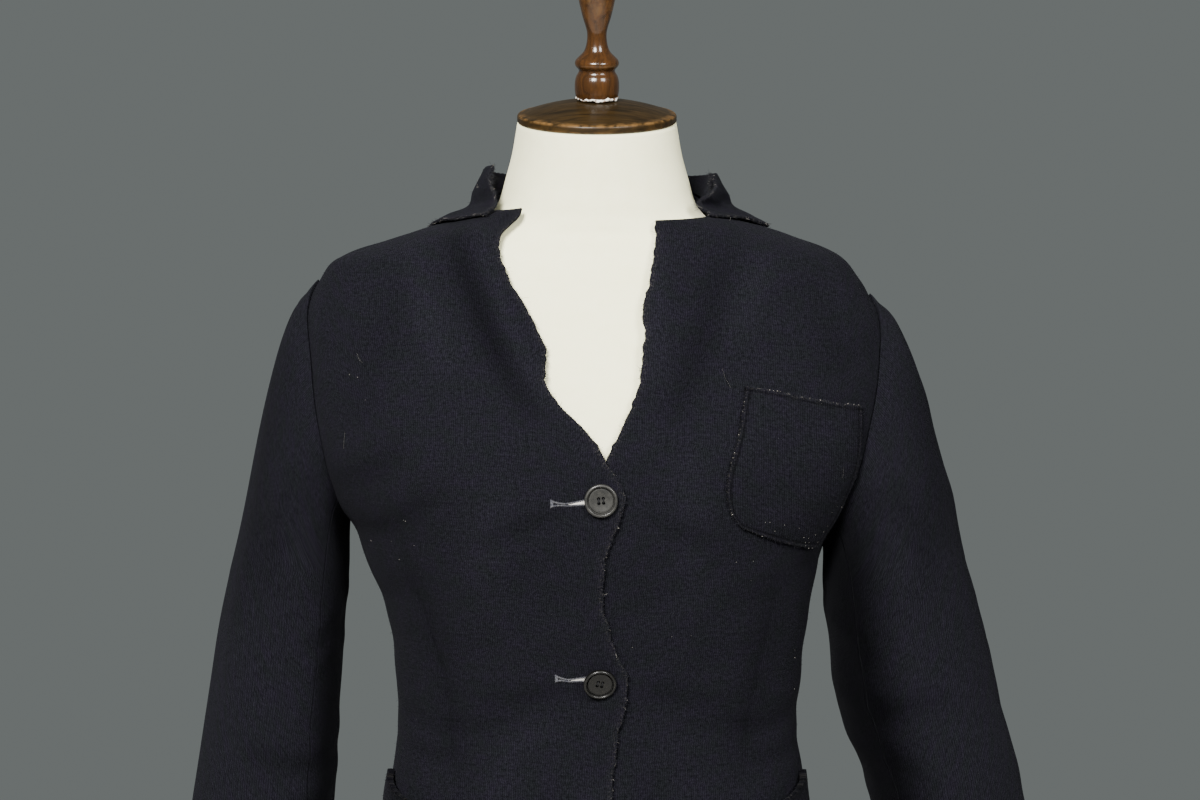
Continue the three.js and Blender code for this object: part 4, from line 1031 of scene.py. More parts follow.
def pocket_pattern(side, pocket, u, v):
    """A patch between its inner and outer side, whose lower edge sags and mouth dips a little."""

    def inner(v):
        return edge_place("inner", v)

    def outer(v):
        return edge_place("outer", v)

    def edge_place(edge, v):
        rows = pocket[edge]
        z = mix(rows["z"][0], rows["z"][-1], v)
        return place(side * turn_at_x(side * along(rows, "z", "x", z), z), z)

    def bottom(u):
        flat = mix(inner(np.zeros((1, 1))), outer(np.zeros((1, 1))), u[..., None])
        return flat - np.stack([0 * u, np.sin(np.pi * u) ** 0.7 * pocket["sag"]], -1)

    def top(u):
        flat = mix(inner(np.ones((1, 1))), outer(np.ones((1, 1))), u[..., None])
        return flat - np.stack([0 * u, np.sin(np.pi * clamp01(u)) * pocket["sag"] * 0.5], -1)

    return fill_patch(inner, outer, bottom, top, clamp01(u), v)


def build_pocket(side, name, pocket):
    """A patch sewn on a front round three sides, with an open top that may stand off."""
    u = crowd(POCKET_GRID["columns"], 0.6)
    v = crowd(POCKET_GRID["rows"], 0.6)
    point, normal = lay_on_body(side, pocket_pattern(side, pocket, u, v))
    z = point[..., 2]
    away = edge_distances(point)
    sewn = np.minimum(np.minimum(away["left"], away["right"]), away["bottom"])
    seat = PATCH_CLOTH + 0.45 * MM
    puffed = smooth(clamp01(sewn / (14 * MM)))
    lift = lift_on_front(side, point) + mix(seat, PATCH_LIFT + 0.6 * MM, puffed)
    # A stitched line runs inside the sewn sides, and the turned mouth has one of its own
    stitched = np.exp(-(((sewn - 3.2 * MM) / (0.9 * MM)) ** 2))
    lift -= 0.5 * MM * stitched
    turned = np.exp(-(((away["top"] - 2.6 * MM) / (0.9 * MM)) ** 2))
    tucked = np.exp(-((sewn / (0.8 * MM)) ** 2))
    # Painted shade along the stitched lines, the turned mouth and the sewn edges
    hollow = np.clip(0.8 * stitched + 0.7 * turned + 0.65 * tucked, 0, 0.9)
    mouth = np.sin(np.pi * u)[None, :] * v[:, None] ** 3
    lift += pocket["gape"] * mouth + 0.5 * MM * mouth * np.sin(away["left"] / (11 * MM))
    # The outer corner of the mouth is thick with folded cloth, and painted shade darkens the mouth
    # there
    corner = pocket["corner"] * (smooth(clamp01(u)) ** 1.5)[None, :] * v[:, None] ** 2
    lift += corner
    hollow = np.maximum(hollow, 0.85 * clamp01(corner / (1.2 * MM)) * v[:, None] ** 30)
    outer = point + normal * lift[..., None]
    sideways = unit(np.gradient(outer, axis=1))
    upward = unit(np.gradient(outer, axis=0))
    outer[:, 0] += sideways[:, 0] * jag(z[:, 0], 31, 0.35 * MM)[:, None]
    outer[:, -1] += sideways[:, -1] * jag(z[:, -1], 32, 0.35 * MM)[:, None]
    outer[0] += upward[0] * jag(away["left"][0], 33, 0.3 * MM)[:, None]
    outer[-1] += upward[-1] * jag(away["left"][-1], 34, 0.4 * MM)[:, None]
    cut = ("left", "right", "top", "bottom")
    rests_on = (f"front_{SIDE_NAMES[side]}_cloth",)
    thickness = PATCH_CLOTH + 0.9 * corner[..., None]
    look = {"thickness": thickness, "across": point[..., 0], "hollow": hollow}
    return lay_cloth(name, outer, normal, cut, "laid", rests_on, **look)


cloth_pieces = []
for each_side in (RIGHT, LEFT):
    cloth_pieces.append(build_front(each_side))
    cloth_pieces.append(build_back(each_side))
    cloth_pieces.append(build_sleeve(each_side, "upper"))
    cloth_pieces.append(build_sleeve(each_side, "under"))
    cloth_pieces.append(build_pocket(each_side, f"hip_pocket_{SIDE_NAMES[each_side]}", HIP_POCKET))
cloth_pieces.append(build_collar())
cloth_pieces.append(build_pocket(LEFT, "chest_pocket", CHEST_POCKET))


def strands(name, lines, radii, sides=3, tints=None):
    """Many fine closed tubes in one mesh: lines has the points of each, radii their thickness there."""
    lines = np.asarray(lines, float)
    count, steps = lines.shape[:2]
    radii = np.broadcast_to(np.asarray(radii, float), (count, steps))
    heading = unit(np.gradient(lines, axis=1))
    upright = np.abs(unit(lines[:, -1] - lines[:, 0])[:, 2:3]) > 0.8
    helper = np.where(upright, (1.0, 0.0, 0.0), (0.0, 0.0, 1.0))[:, None, :]
    first = unit(np.cross(heading, helper))
    second = np.cross(heading, first)
    angle = 2 * np.pi * np.arange(sides) / sides
    across = np.cos(angle)[:, None] * first[:, :, None]
    around = across + np.sin(angle)[:, None] * second[:, :, None]
    points = lines[:, :, None] + radii[:, :, None, None] * around
    index = np.arange(count * steps * sides).reshape(count, steps, sides)
    ahead = np.roll(index, -1, axis=2)
    quads = np.stack([index[:, :-1], ahead[:, :-1], ahead[:, 1:], index[:, 1:]], -1).reshape(-1, 4)
    caps = np.concatenate([index[:, 0, ::-1], index[:, -1]])
    if tints is None:
        tints = np.zeros(count)
    tint = np.repeat(tints, steps * sides)
    faces = quads.tolist() + caps.tolist()
    return from_parts(name, points.reshape(-1, 3).tolist(), faces, {"tint": tint})


def wrap_jersey(piece, heights, around, girth):
    """Weave coordinates once round the form, from the place of each point in its ring."""
    layer = piece.data.uv_layers.new(name="weave")
    loops = piece.data.loops
    for polygon in piece.data.polygons:
        columns = [loops[i].vertex_index % around for i in polygon.loop_indices]
        wraps = len(columns) == 4 and max(columns) - min(columns) > around / 2
        for i, column in zip(polygon.loop_indices, columns):
            share = (column + (around if wraps and column == 0 else 0)) / around
            layer.data[i].uv = (share * girth, heights[loops[i].vertex_index])


def build_form():
    """The form's jersey-covered body, closed below and at the neck, its neck tilted forward."""
    around = 144
    knots = FORM["z"]
    levels = np.unique(np.concatenate([np.linspace(a, b, 9) for a, b in zip(knots[:-1], knots[1:])]))
    z = levels[:, None]
    turn = 2 * np.pi * np.arange(around)[None, :] / around
    half, front, back, lean, square = (
        along(FORM, "z", column, z) for column in ("half", "front", "back", "lean", "square")
    )
    share = smooth(clamp01((z - NECK_TILT_FROM_Z) / (knots[-1] - NECK_TILT_FROM_Z)))
    power = 2 / square
    s = np.sin(turn)
    c = np.cos(turn)
    y = -np.where(c > 0, front, back) * np.sign(c) * np.abs(c) ** power
    x = half * np.sign(s) * np.abs(s) ** power
    tilted = z + y * math.tan(NECK_TILT) * share
    grid = np.stack(np.broadcast_arrays(x, lean + y, tilted), -1)
    rows = len(levels)
    index = np.arange(rows * around).reshape(rows, around)
    ahead = np.roll(index, -1, axis=1)
    quads = np.stack([index[:-1], ahead[:-1], ahead[1:], index[1:]], -1).reshape(-1, 4)
    bottom = rows * around
    low = [[int(ahead[0, k]), int(index[0, k]), bottom] for k in range(around)]
    top = [[int(index[-1, k]), int(ahead[-1, k]), bottom + 1] for k in range(around)]
    ends = [[0, 0, float(levels[0])], [0, float(FORM["lean"][-1]), float(levels[-1])]]
    faces = quads.tolist() + low + top
    piece = from_parts("form_jersey", grid.reshape(-1, 3).tolist() + ends, faces)
    heights = np.concatenate([np.repeat(levels, around), [levels[0], levels[-1]]])
    wrap_jersey(piece, heights, around, 2 * math.pi * JERSEY_RADIUS)
    finish_piece(piece, "form")
    return piece


def turned_piece(name, profile, segments=96):
    """A lathe-turned solid on the Z axis: a disc extruded ring by ring along radius and height."""
    bpy.ops.object.select_all(action="DESELECT")
    radius, height = profile[0]
    bpy.ops.mesh.primitive_circle_add(
        vertices=segments, radius=radius, fill_type="NGON", location=(0, 0, height)
    )
    piece = bpy.context.object
    piece.name = name
    piece.data.name = name
    bpy.ops.object.mode_set(mode="EDIT")
    bpy.ops.mesh.select_all(action="SELECT")
    for next_radius, next_height in profile[1:]:
        step = {"value": (0, 0, next_height - height)}
        bpy.ops.mesh.extrude_region_move(TRANSFORM_OT_translate=step)
        scale = next_radius / radius
        bpy.ops.transform.resize(value=(scale, scale, 1), center_override=(0, 0, next_height))
        radius, height = next_radius, next_height
    bpy.ops.mesh.select_all(action="DESELECT")
    bpy.ops.mesh.select_non_manifold()
    bpy.ops.mesh.edge_face_add()
    bpy.ops.mesh.select_all(action="SELECT")
    bpy.ops.mesh.normals_make_consistent(inside=False)
    bpy.ops.object.mode_set(mode="OBJECT")
    bpy.ops.object.transform_apply(location=True, rotation=True, scale=True)
    bpy.ops.object.shade_smooth_by_angle(angle=math.radians(50))
    return piece


def fillet(radius, height, reach, start, end, steps=5):
    """Profile places on a rounded corner: centre radius and height, and the angles it runs between."""
    angles = np.radians(np.linspace(start, end, steps))
    return [(radius + reach * math.cos(a), height + reach * math.sin(a)) for a in angles]


def mark_points(piece, key, rule):
    """Gives each point of a piece a named value worked out from its place."""
    places = np.array([tuple(vertex.co) for vertex in piece.data.vertices])
    attribute = piece.data.attributes.new(key, "FLOAT", "POINT")
    attribute.data.foreach_set("value", np.asarray(rule(places), np.float32))


neck_place = Matrix.Translation((0, float(FORM["lean"][-1]), float(FORM["z"][-1])))
neck_place = neck_place @ Matrix.Rotation(NECK_TILT, 4, "X")


def build_cap():
    """A shallow dome over a rounded rim, rubbed along both of the rim's corners."""
    radius = CAP["radius"]
    rim = CAP["rim"]
    low_corner = fillet(radius - 1.6 * MM, 1.6 * MM, 1.6 * MM, -90, 0)
    high_corner = fillet(radius - 2.2 * MM, rim - 2.0 * MM, 2.2 * MM, 0, 80)
    dome = [
        ((radius - 2.4 * MM) * share, rim + CAP["dome"] * (1 - share * share))
        for share in np.linspace(0.985, 0.03, 22)
    ]
    piece = turned_piece("turned_cap", low_corner + high_corner + dome, 128)

    def worn(places):
        reach = np.hypot(places[:, 0], places[:, 1])
        upper = np.exp(-(((places[:, 2] - rim + 0.4 * MM) / (0.9 * MM)) ** 2))
        lower = 0.8 * np.exp(-(((places[:, 2] - 0.6 * MM) / (0.7 * MM)) ** 2))
        return np.maximum(upper, lower) * (reach > radius - 4 * MM)

    mark_points(piece, "worn", worn)
    piece.data.transform(neck_place @ Matrix.Translation((0, 0, PART_GAP)))
    finish_piece(piece, "neck_cap")
    return piece


finial_place = neck_place @ Matrix.Translation((0, 0, CAP["rim"] + CAP["dome"] + 2 * PART_GAP))


def build_finial():
    """The foot and ball are turned in finer steps than the long spindle above them."""
    ball_top = 36 * MM
    low = np.linspace(0, ball_top, 72)
    high = np.linspace(ball_top + MM, FINIAL["up"][-1], 60)
    heights = np.concatenate([low, high])
    profile = [(float(along(FINIAL, "up", "r", up)), float(up)) for up in heights]
    piece = turned_piece("turned_finial", profile, 64)

    def worn(places):
        crest = np.exp(-(((places[:, 2] - 24.5 * MM) / (1.0 * MM)) ** 2))
        return 0.35 * crest + 0.3 * np.exp(-(((places[:, 2] - 70 * MM) / (14 * MM)) ** 2))

    mark_points(piece, "worn", worn)
    piece.data.transform(finial_place)
    finish_piece(piece, "finial")
    return piece


def build_glue():
    """The whitish line of old glue squeezed out between the finial's foot and its ball."""
    radius = 14.6 * MM
    bpy.ops.object.select_all(action="DESELECT")
    bpy.ops.mesh.primitive_torus_add(
        major_radius=radius, minor_radius=0.75 * MM, major_segments=120, minor_segments=10
    )
    piece = bpy.context.object
    piece.name = "old_glue"
    for vertex in piece.data.vertices:
        angle = math.atan2(vertex.co.y, vertex.co.x)
        ring = Vector((math.cos(angle), math.sin(angle), 0)) * radius
        swell = 0.95 + 0.45 * math.sin(2 * angle - 2.4) + 0.3 * math.sin(11 * angle)
        swell += 0.25 * math.sin(23 * angle)
        vertex.co = ring + (vertex.co - ring) * max(0.25, swell)
        vertex.co.z += 0.35 * MM * math.sin(7 * angle + 2) + 0.25 * MM * math.sin(17 * angle)
    piece.data.transform(finial_place @ Matrix.Translation((0, 0, 0.9 * MM)))
    bpy.ops.object.shade_smooth()
    finish_piece(piece, None)
    return piece


def build_stand():
    """The plate under the form, the pole with its collar, and the stepped round base."""
    plate_top = float(FORM["z"][0]) - PART_GAP
    plate_radius = STAND["plate_radius"]
    plate_thick = STAND["plate_thick"]
    base_radius = STAND["base_radius"]
    base_thick = STAND["base_thick"]
    pole_radius = STAND["pole_radius"]
    plate = turned_piece(
        "turned_plate",
        [(0.3 * plate_radius, 0)]
        + fillet(plate_radius - 4 * MM, 4 * MM, 4 * MM, -90, 0, 8)
        + fillet(plate_radius - 1.2 * MM, plate_thick - 1.2 * MM, 1.2 * MM, 0, 90)
        + [(0.3 * plate_radius, plate_thick)],
    )
    plate.data.transform(Matrix.Translation((0, 0, plate_top - plate_thick)))
    pole_top = plate_top - plate_thick - PART_GAP
    pole_low = base_thick + PART_GAP
    collar_high = 9 * MM
    pole = turned_piece(
        "steel_pole",
        fillet(pole_radius + 4 * MM, pole_low + MM, MM, -90, 0)
        + fillet(pole_radius + 3 * MM, pole_low + collar_high, 2 * MM, 0, 90)
        + [(pole_radius, pole_low + collar_high + 2 * MM), (pole_radius, pole_top - 0.5 * MM)]
        + [(pole_radius - 0.5 * MM, pole_top)],
        64,
    )
    base = turned_piece(
        "turned_base",
        [(base_radius - 2 * MM, 0)]
        + fillet(base_radius - 3 * MM, 3 * MM, 3 * MM, -60, 0)
        + fillet(base_radius - 3 * MM, 9 * MM, 3 * MM, 0, 80)
        + [(base_radius - 7 * MM, 12.2 * MM), (base_radius - 9 * MM, 12.4 * MM)]
        + [(base_radius - 10 * MM, 13.6 * MM), (base_radius - 20 * MM, 14.6 * MM)]
        + [(0.7 * base_radius, 16.6 * MM), (0.4 * base_radius, 18.6 * MM)]
        + [(pole_radius + 14 * MM, base_thick - 0.2 * MM), (pole_radius + 8 * MM, base_thick)],
    )

    def worn(places):
        return 0.4 * (np.hypot(places[:, 0], places[:, 1]) > base_radius - MM)

    for piece in (plate, base):
        mark_points(piece, "worn", worn)
    finish_piece(plate, "form_plate")
    finish_piece(pole, "stand_pole")
    finish_piece(base, "stand_base")
    return plate, pole, base


def on_front(x, z, side, lift):
    """A point over the front at a place across and up, and the cloth's normal there."""
    x = np.atleast_1d(np.asarray(x, float))
    z = np.atleast_1d(np.asarray(z, float)) + 0 * x
    turn = turn_at_x(x, z)
    point = body_point(turn, z)
    normal = body_normal(turn, z)
    return point + normal * (lift_on_front(side, point) + lift)[:, None], normal


def button_place(x, z, turned, leant):
    """Where a button lies: clear of the cloth by its gap, or by more where it leans over."""
    raised = BUTTON["radius"] * math.sin(math.radians(leant)) * 0.8
    point, normal = on_front(x, z, RIGHT, BUTTON["gap"] + raised)
    facing = Vector((0, 0, 1)).rotation_difference(Vector(normal[0]))
    seat = Matrix.Translation(Vector(point[0])) @ facing.to_matrix().to_4x4()
    seat = seat @ Matrix.Rotation(math.radians(leant), 4, Vector((1, 0.35, 0)))
    return seat @ Matrix.Rotation(math.radians(turned), 4, "Z")


def build_button(name, x, z, turned, leant):
    """A four-hole button with a raised rim, a groove inside it and a dished middle."""
    radius = BUTTON["radius"]
    thick = BUTTON["thick"]
    well = radius - BUTTON["rim"]
    floor = thick - BUTTON["dish"]
    dish = [
        ((well - 1.6 * MM) * share, floor - 0.5 * MM * (1 - share * share))
        for share in (1, 0.85, 0.6, 0.35, 0.1)
    ]
    profile = (
        [(radius - 2.2 * MM, 0)]
        + fillet(radius - 1.7 * MM, 1.7 * MM, 1.7 * MM, -80, 0, 6)
        + fillet(radius - 1.3 * MM, thick - 1.3 * MM, 1.3 * MM, 0, 100, 9)
        + [(well - 0.2 * MM, thick - 0.5 * MM), (well - 0.4 * MM, floor - 0.6 * MM)]
        + [(well - 0.9 * MM, floor - 0.9 * MM), (well - 1.3 * MM, floor - 0.05 * MM)]
        + dish
    )
    piece = turned_piece(f"{name}_resin", profile, 64)
    reach = HOLE["pitch"] / 2
    for across in (-reach, reach):
        for up in (-reach, reach):
            bpy.ops.object.select_all(action="DESELECT")
            bpy.ops.mesh.primitive_cylinder_add(
                vertices=20, radius=HOLE["radius"], depth=3 * thick, location=(across, up, 0)
            )
            drill = bpy.context.object
            cut = piece.modifiers.new("hole", "BOOLEAN")
            cut.operation = "DIFFERENCE"
            cut.object = drill
            bpy.context.view_layer.objects.active = piece
            bpy.ops.object.modifier_apply(modifier="hole")
            bpy.data.objects.remove(drill)
    piece.data.transform(button_place(x, z, turned, leant))
    finish_piece(piece, name)
    return piece


def build_button_threads(name, x, z, turned, leant):
    """Two upright bars of black thread through the four holes."""
    reach = HOLE["pitch"] / 2
    face = BUTTON["thick"] - BUTTON["dish"]
    t = np.linspace(0, 1, 12)
    lines = []
    for across in (-reach, reach):
        for strand in (-0.34, 0, 0.34):
            up = mix(-reach - 0.15 * MM, reach + 0.15 * MM, t)
            arch = 1.55 * MM * np.sin(np.pi * t) ** 0.45
            high = face - 1.4 * MM + arch - 0.1 * MM * abs(strand) / 0.34
            sway = strand * MM * (0.55 + 0.45 * np.sin(np.pi * t))
            lines.append(np.stack([across + sway, up, high], -1))
    lines = np.array(lines)
    turn = np.array(button_place(x, z, turned, leant))
    lines = lines @ turn[:3, :3].T + turn[:3, 3]
    piece = strands(f"{name}_thread", lines, 0.2 * MM, sides=6)
    finish_piece(piece, None)
    return piece


# Buttonholes beside the buttons: the eye, where the slit starts to open, and its far end, then
# how wide it is there and how pale the opening looks
BUTTONHOLES = {
    "buttonhole_1": {
        "eye": (-31, 616.0), "shut": (-20.5, 615.3), "end": (-4, 617.2), "gap": 2.0, "pale": 1.0,
    },
    "buttonhole_2": {
        "eye": (-28, 493.6), "shut": (-19, 492.2), "end": (-4, 493.6), "gap": 1.7, "pale": 0.75,
    },
}


def build_buttonhole(name, places):
    """Worked round its slit: a fan of stitches at the eye, two lips, and the pale opening."""
    eye, shut, end = (np.array(places[key]) * MM for key in ("eye", "shut", "end"))
    t = np.linspace(0, 1, 34)
    stops = np.arange(len(t))
    centre = smooth_line(np.array([eye, mix(eye, shut, 0.5), shut, mix(shut, end, 0.5), end]), 8)
    step = np.linspace(0, 1, len(centre))
    rows = {
        "at": np.array([0, 0.1, 0.3, 0.45, 1.0]),
        "gap": np.array([2.1, 1.3, 0.65, 0.6, places["gap"]]) * MM,
    }
    line_x = np.interp(t, step, centre[:, 0])
    line_z = np.interp(t, step, centre[:, 1])
    gap = along(rows, "at", "gap", t)
    lips = []
    stitches = []
    for way in (-1, 1):
        lip, normal = on_front(line_x, line_z + way * gap, RIGHT, 0.35 * MM)
        lips.append(lip)
        within = way * np.maximum(gap - 0.8 * MM, 0.1 * MM)
        beyond = way * (gap + 0.7 * MM)
        inner, _ = on_front(line_x, line_z + within, RIGHT, 0.15 * MM)
        outer, _ = on_front(line_x + 0.25 * MM, line_z + beyond, RIGHT, 0.1 * MM)
        middle = lip + normal * 0.25 * MM
        stitches += [np.array([a, b, c]) for a, b, c in zip(inner, middle, outer)]
    for share in np.linspace(-1, 1, 15):
        inner, _ = on_front(eye[0] + 1.5 * MM, eye[1] + share * 1.0 * MM, RIGHT, 0.2 * MM)
        middle, _ = on_front(eye[0] + 0.4 * MM, eye[1] + share * 2.0 * MM, RIGHT, 0.4 * MM)
        outer, _ = on_front(eye[0] - 0.6 * MM, eye[1] + share * 2.9 * MM, RIGHT, 0.1 * MM)
        stitches.append(np.array([inner[0], middle[0], outer[0]]))
    draw = random.Random(name)
    tints = 0.03 + 0.12 * np.array([draw.random() ** 2 for _ in stitches])
    stitch_piece = strands(f"{name}_stitches", stitches, 0.2 * MM, sides=5, tints=tints)
    lip_piece = strands(f"{name}_lips", lips, 0.24 * MM, sides=6, tints=[0.07, 0.1])
    pale = []
    for share in np.linspace(-0.92, 0.92, 13):
        open_from = int(len(t) * (0.52 + 0.1 * abs(share) + draw.uniform(0, 0.07)))
        at = np.linspace(open_from, len(t) - 1, 12)
        across, up, wide = (np.interp(at, stops, values) for values in (line_x, line_z, gap))
        up = up + share * (wide - 0.15 * MM) * np.linspace(0.35, 1, 12)
        wander = 0.08 * MM * np.sin(at * draw.uniform(1, 2))
        line, _ = on_front(across, up + wander, RIGHT, 0.12 * MM)
        pale.append(line)
    tints = places["pale"] * np.linspace(0.85, 1, len(pale))
    pale_piece = strands(f"{name}_opening", pale, 0.21 * MM, sides=5, tints=tints)
    for piece in (stitch_piece, lip_piece, pale_piece):
        finish_piece(piece, None)
    return stitch_piece, lip_piece, pale_piece


# Loose fibres on each cut edge: how many stand on a millimetre, what share of them is pale, and how
# long they are beside the usual ones. The collar's ends are torn across its fold and fray the most.
FRAY = {
    "front_right": (2.3, 0.07, 1),
    "front_left": (2.3, 0.07, 1),
    "collar": (3.2, 0.10, 1),
    "collar_ends": (8.5, 0.04, 1.6),
    "chest_pocket": (1.4, 0.012, 1),
}
FRAY_ELSEWHERE = (0.5, 0.06, 1)


def fray_edge(draw, rim, inside, facing, density, pale, longer):
    """Lines and tints of the fibres along one edge. Inside is the row of points within the rim, and
    facing has the cloth's normals; the roots are spread over the cut's thickness."""
    run = run_along(rim, 0)
    count = int(run[-1] / MM * density)
    at = draw.uniform(0, run[-1], count)
    rim_there, inside_there, facing_there = (
        np.stack([np.interp(at, run, values[:, k]) for k in range(3)], -1)
        for values in (rim, inside, facing)
    )
    outward = unit(rim_there - inside_there)
    facing_there = unit(facing_there)
    aside = np.cross(outward, facing_there)
    length = longer * (0.5 + draw.gamma(1.6, 0.45, count))[:, None] * MM
    heading = unit(
        outward * draw.uniform(0.3, 1, (count, 1))
        + aside * draw.uniform(-1, 1, (count, 1))
        + facing_there * draw.uniform(-0.45, 0.7, (count, 1))
    )
    curl = unit(draw.normal(size=(count, 3))) * length * 0.7
    depth = facing_there * draw.uniform(0, 1, (count, 1)) * 1.8 * MM
    root = rim_there - depth - outward * 0.2 * MM
    t = np.linspace(0, 1, 4)[None, :, None]
    lines = root[:, None] + heading[:, None] * length[:, None] * t + curl[:, None] * t * t
    return lines, (draw.uniform(size=count) < pale) * draw.uniform(0.4, 1, count)


def build_fray():
    """Short curled fibres that stand out of every cut, unravelling edge."""
    draw = np.random.default_rng(11)
    lines = []
    tints = []
    for name, (outer, normal, raw) in cloth_grids.items():
        edges = {
            "left": (outer[:, 0], outer[:, 2], normal[:, 0]),
            "right": (outer[:, -1], outer[:, -3], normal[:, -1]),
            "bottom": (outer[0], outer[2], normal[0]),
            "top": (outer[-1], outer[-3], normal[-1]),
        }
        for edge in raw:
            kind = "collar_ends" if name == "collar" and edge != "top" else name
            edge_lines, edge_tints = fray_edge(draw, *edges[edge], *FRAY.get(kind, FRAY_ELSEWHERE))
            lines.append(edge_lines)
            tints.append(edge_tints)
    thickness = np.array([0.11, 0.1, 0.085, 0.05]) * MM
    piece = strands("edge_fray", np.concatenate(lines), thickness, tints=np.concatenate(tints))
    finish_piece(piece, None)
    return piece


def grid_point(values, row, column):
    """Value of a grid between its points, at fractional rows and columns."""
    r = np.clip(np.floor(row).astype(int), 0, values.shape[0] - 2)
    c = np.clip(np.floor(column).astype(int), 0, values.shape[1] - 2)
    u = (column - c)[..., None]
    v = (row - r)[..., None]
    below = mix(values[r, c], values[r, c + 1], u)
    above = mix(values[r + 1, c], values[r + 1, c + 1], u)
    return mix(below, above, v)


def build_nap(name, pieces, count):
    """The short nap of boiled wool: fine fibres all over, leaning down the cloth."""
    draw = np.random.default_rng(count)
    lines = []
    for grid_name in pieces:
        outer, normal, _ = cloth_grids[grid_name]
        row = draw.uniform(0, outer.shape[0] - 1, count)
        column = draw.uniform(0, outer.shape[1] - 1, count)
        root = grid_point(outer, row, column)
        facing = unit(grid_point(normal, row, column))
        lean = unit(draw.normal(size=(count, 3)) + (0, 0, -0.8))
        length = draw.uniform(0.6, 2.0, (count, 1)) * MM
        tip = root + facing * length * draw.uniform(0.2, 0.75, (count, 1)) + lean * length * 0.7
        lines.append(np.stack([root - facing * 0.1 * MM, tip], 1))
    piece = strands(name, np.concatenate(lines), np.array([0.08, 0.035]) * MM)
    finish_piece(piece, None)
    return piece


# Lint: the drifts that pale specks gather in, how many specks one has at most and how many grid
# steps it spreads over, the specks along the chest pocket's mouth, side and foot, and the hairs
LINT = {"drifts": 64, "in_drift": 4, "spread": 3.2, "mouth": 14, "side": 9, "foot": 4, "hairs": 20}


def speck(draw, centre, facing, longest, high):
    """A short fat fibre lying on the cloth, arched a little."""
    heading = unit(draw.normal(size=3)) * draw.uniform(0.15, longest) * MM
    return np.array([centre - heading, centre + facing * high * MM, centre + heading])


def build_lint():
    """Pale specks in small drifts, lint along the chest pocket's edges, and a few pale hairs."""
    draw = np.random.default_rng(23)
    names = sorted(cloth_grids)
    specks = []
    hairs = []
    for index in range(LINT["drifts"]):
        outer, normal, _ = cloth_grids[names[index % len(names)]]
        row = draw.uniform(6, outer.shape[0] - 7)
        column = draw.uniform(5, outer.shape[1] - 6)
        for _ in range(draw.integers(1, LINT["in_drift"] + 1)):
            at = [
                np.array([row + draw.normal() * LINT["spread"]]),
                np.array([column + draw.normal() * LINT["spread"]]),
            ]
            centre = grid_point(outer, *at)[0]
            specks.append(speck(draw, centre, grid_point(normal, *at)[0], 0.5, 0.25))
    outer, normal, _ = cloth_grids["chest_pocket"]
    edges = {
        "mouth": (outer[-1], normal[-1]),
        "side": (outer[:, 0], normal[:, 0]),
        "foot": (outer[0], normal[0]),
    }
    for edge, (rim, facing) in edges.items():
        for at in draw.uniform(1, len(rim) - 2, LINT[edge]):
            specks.append(speck(draw, rim[int(at)], facing[int(at)], 0.6, 0.3))
    for index in range(LINT["hairs"]):
        outer, normal, _ = cloth_grids[names[(index * 5) % len(names)]]
        t = np.linspace(0, 1, 14)
        reach = draw.uniform(3, 8)
        heading = draw.uniform(0, 2 * np.pi)
        row = draw.uniform(12, outer.shape[0] - 13) + reach * np.sin(heading) * t
        row = row + draw.uniform(-2, 2) * t * t
        column = draw.uniform(8, outer.shape[1] - 9) + 0.7 * reach * np.cos(heading) * t
        column = column + draw.uniform(-2, 2) * t * t
        facing = unit(grid_point(normal, row, column))
        clear = (0.15 + 0.5 * np.sin(np.pi * t))[:, None] * MM
        hairs.append(grid_point(outer, row, column) + facing * clear)
    swell = draw.uniform(0.6, 1.35, (len(specks), 1))
    speck_size = np.array([0.08, 0.26, 0.08]) * MM * swell
    tints = draw.uniform(0.25, 1.0, len(specks))
    speck_piece = strands("lint_specks", specks, speck_size, sides=5, tints=tints)
    tints = draw.uniform(0.3, 0.6, len(hairs))
    hair_piece = strands("pale_hairs", hairs, 0.045 * MM, tints=tints)
    for piece in (speck_piece, hair_piece):
        finish_piece(piece, None)
    return speck_piece, hair_piece


form_piece = build_form()
cap_piece = build_cap()
finial_piece = build_finial()
glue_piece = build_glue()
plate_piece, pole_piece, base_piece = build_stand()
button_pieces = [build_button(name, *places) for name, places in BUTTONS.items()]
thread_pieces = [build_button_threads(name, *places) for name, places in BUTTONS.items()]
buttonhole_pieces = [
    piece for name, places in BUTTONHOLES.items() for piece in build_buttonhole(name, places)
]
panels = ["front_right", "front_left", "back_right", "back_left"]
sleeves = [f"sleeve_{part}_{name}" for part in ("upper", "under") for name in ("right", "left")]
small_cloth = ["collar", "chest_pocket", "hip_pocket_right", "hip_pocket_left"]
fibre_pieces = [
    build_fray(),
    build_nap("nap_of_panels", panels, 1900),
    build_nap("nap_of_sleeves", sleeves, 1300),
    build_nap("nap_of_small_pieces", small_cloth, 800),
    *build_lint(),
]


def add_node(tree, kind, inputs=None, **settings):
    """A shader node with its settings, and each input given a value or linked to a socket."""
    node = tree.nodes.new(kind)
    for key, value in settings.items():
        setattr(node, key, value)
    for key, value in (inputs or {}).items():
        if isinstance(value, bpy.types.NodeSocket):
            tree.links.new(value, node.inputs[key])
        else:
            node.inputs[key].default_value = value
    return node


def calculate(tree, operation, *values):
    return add_node(tree, "ShaderNodeMath", dict(enumerate(values)), operation=operation).outputs[0]


def map_range(tree, value, low, high, to_low=0.0, to_high=1.0):
    return add_node(
        tree, "ShaderNodeMapRange",
        {"Value": value, "From Min": low, "From Max": high, "To Min": to_low, "To Max": to_high},
    ).outputs["Result"]


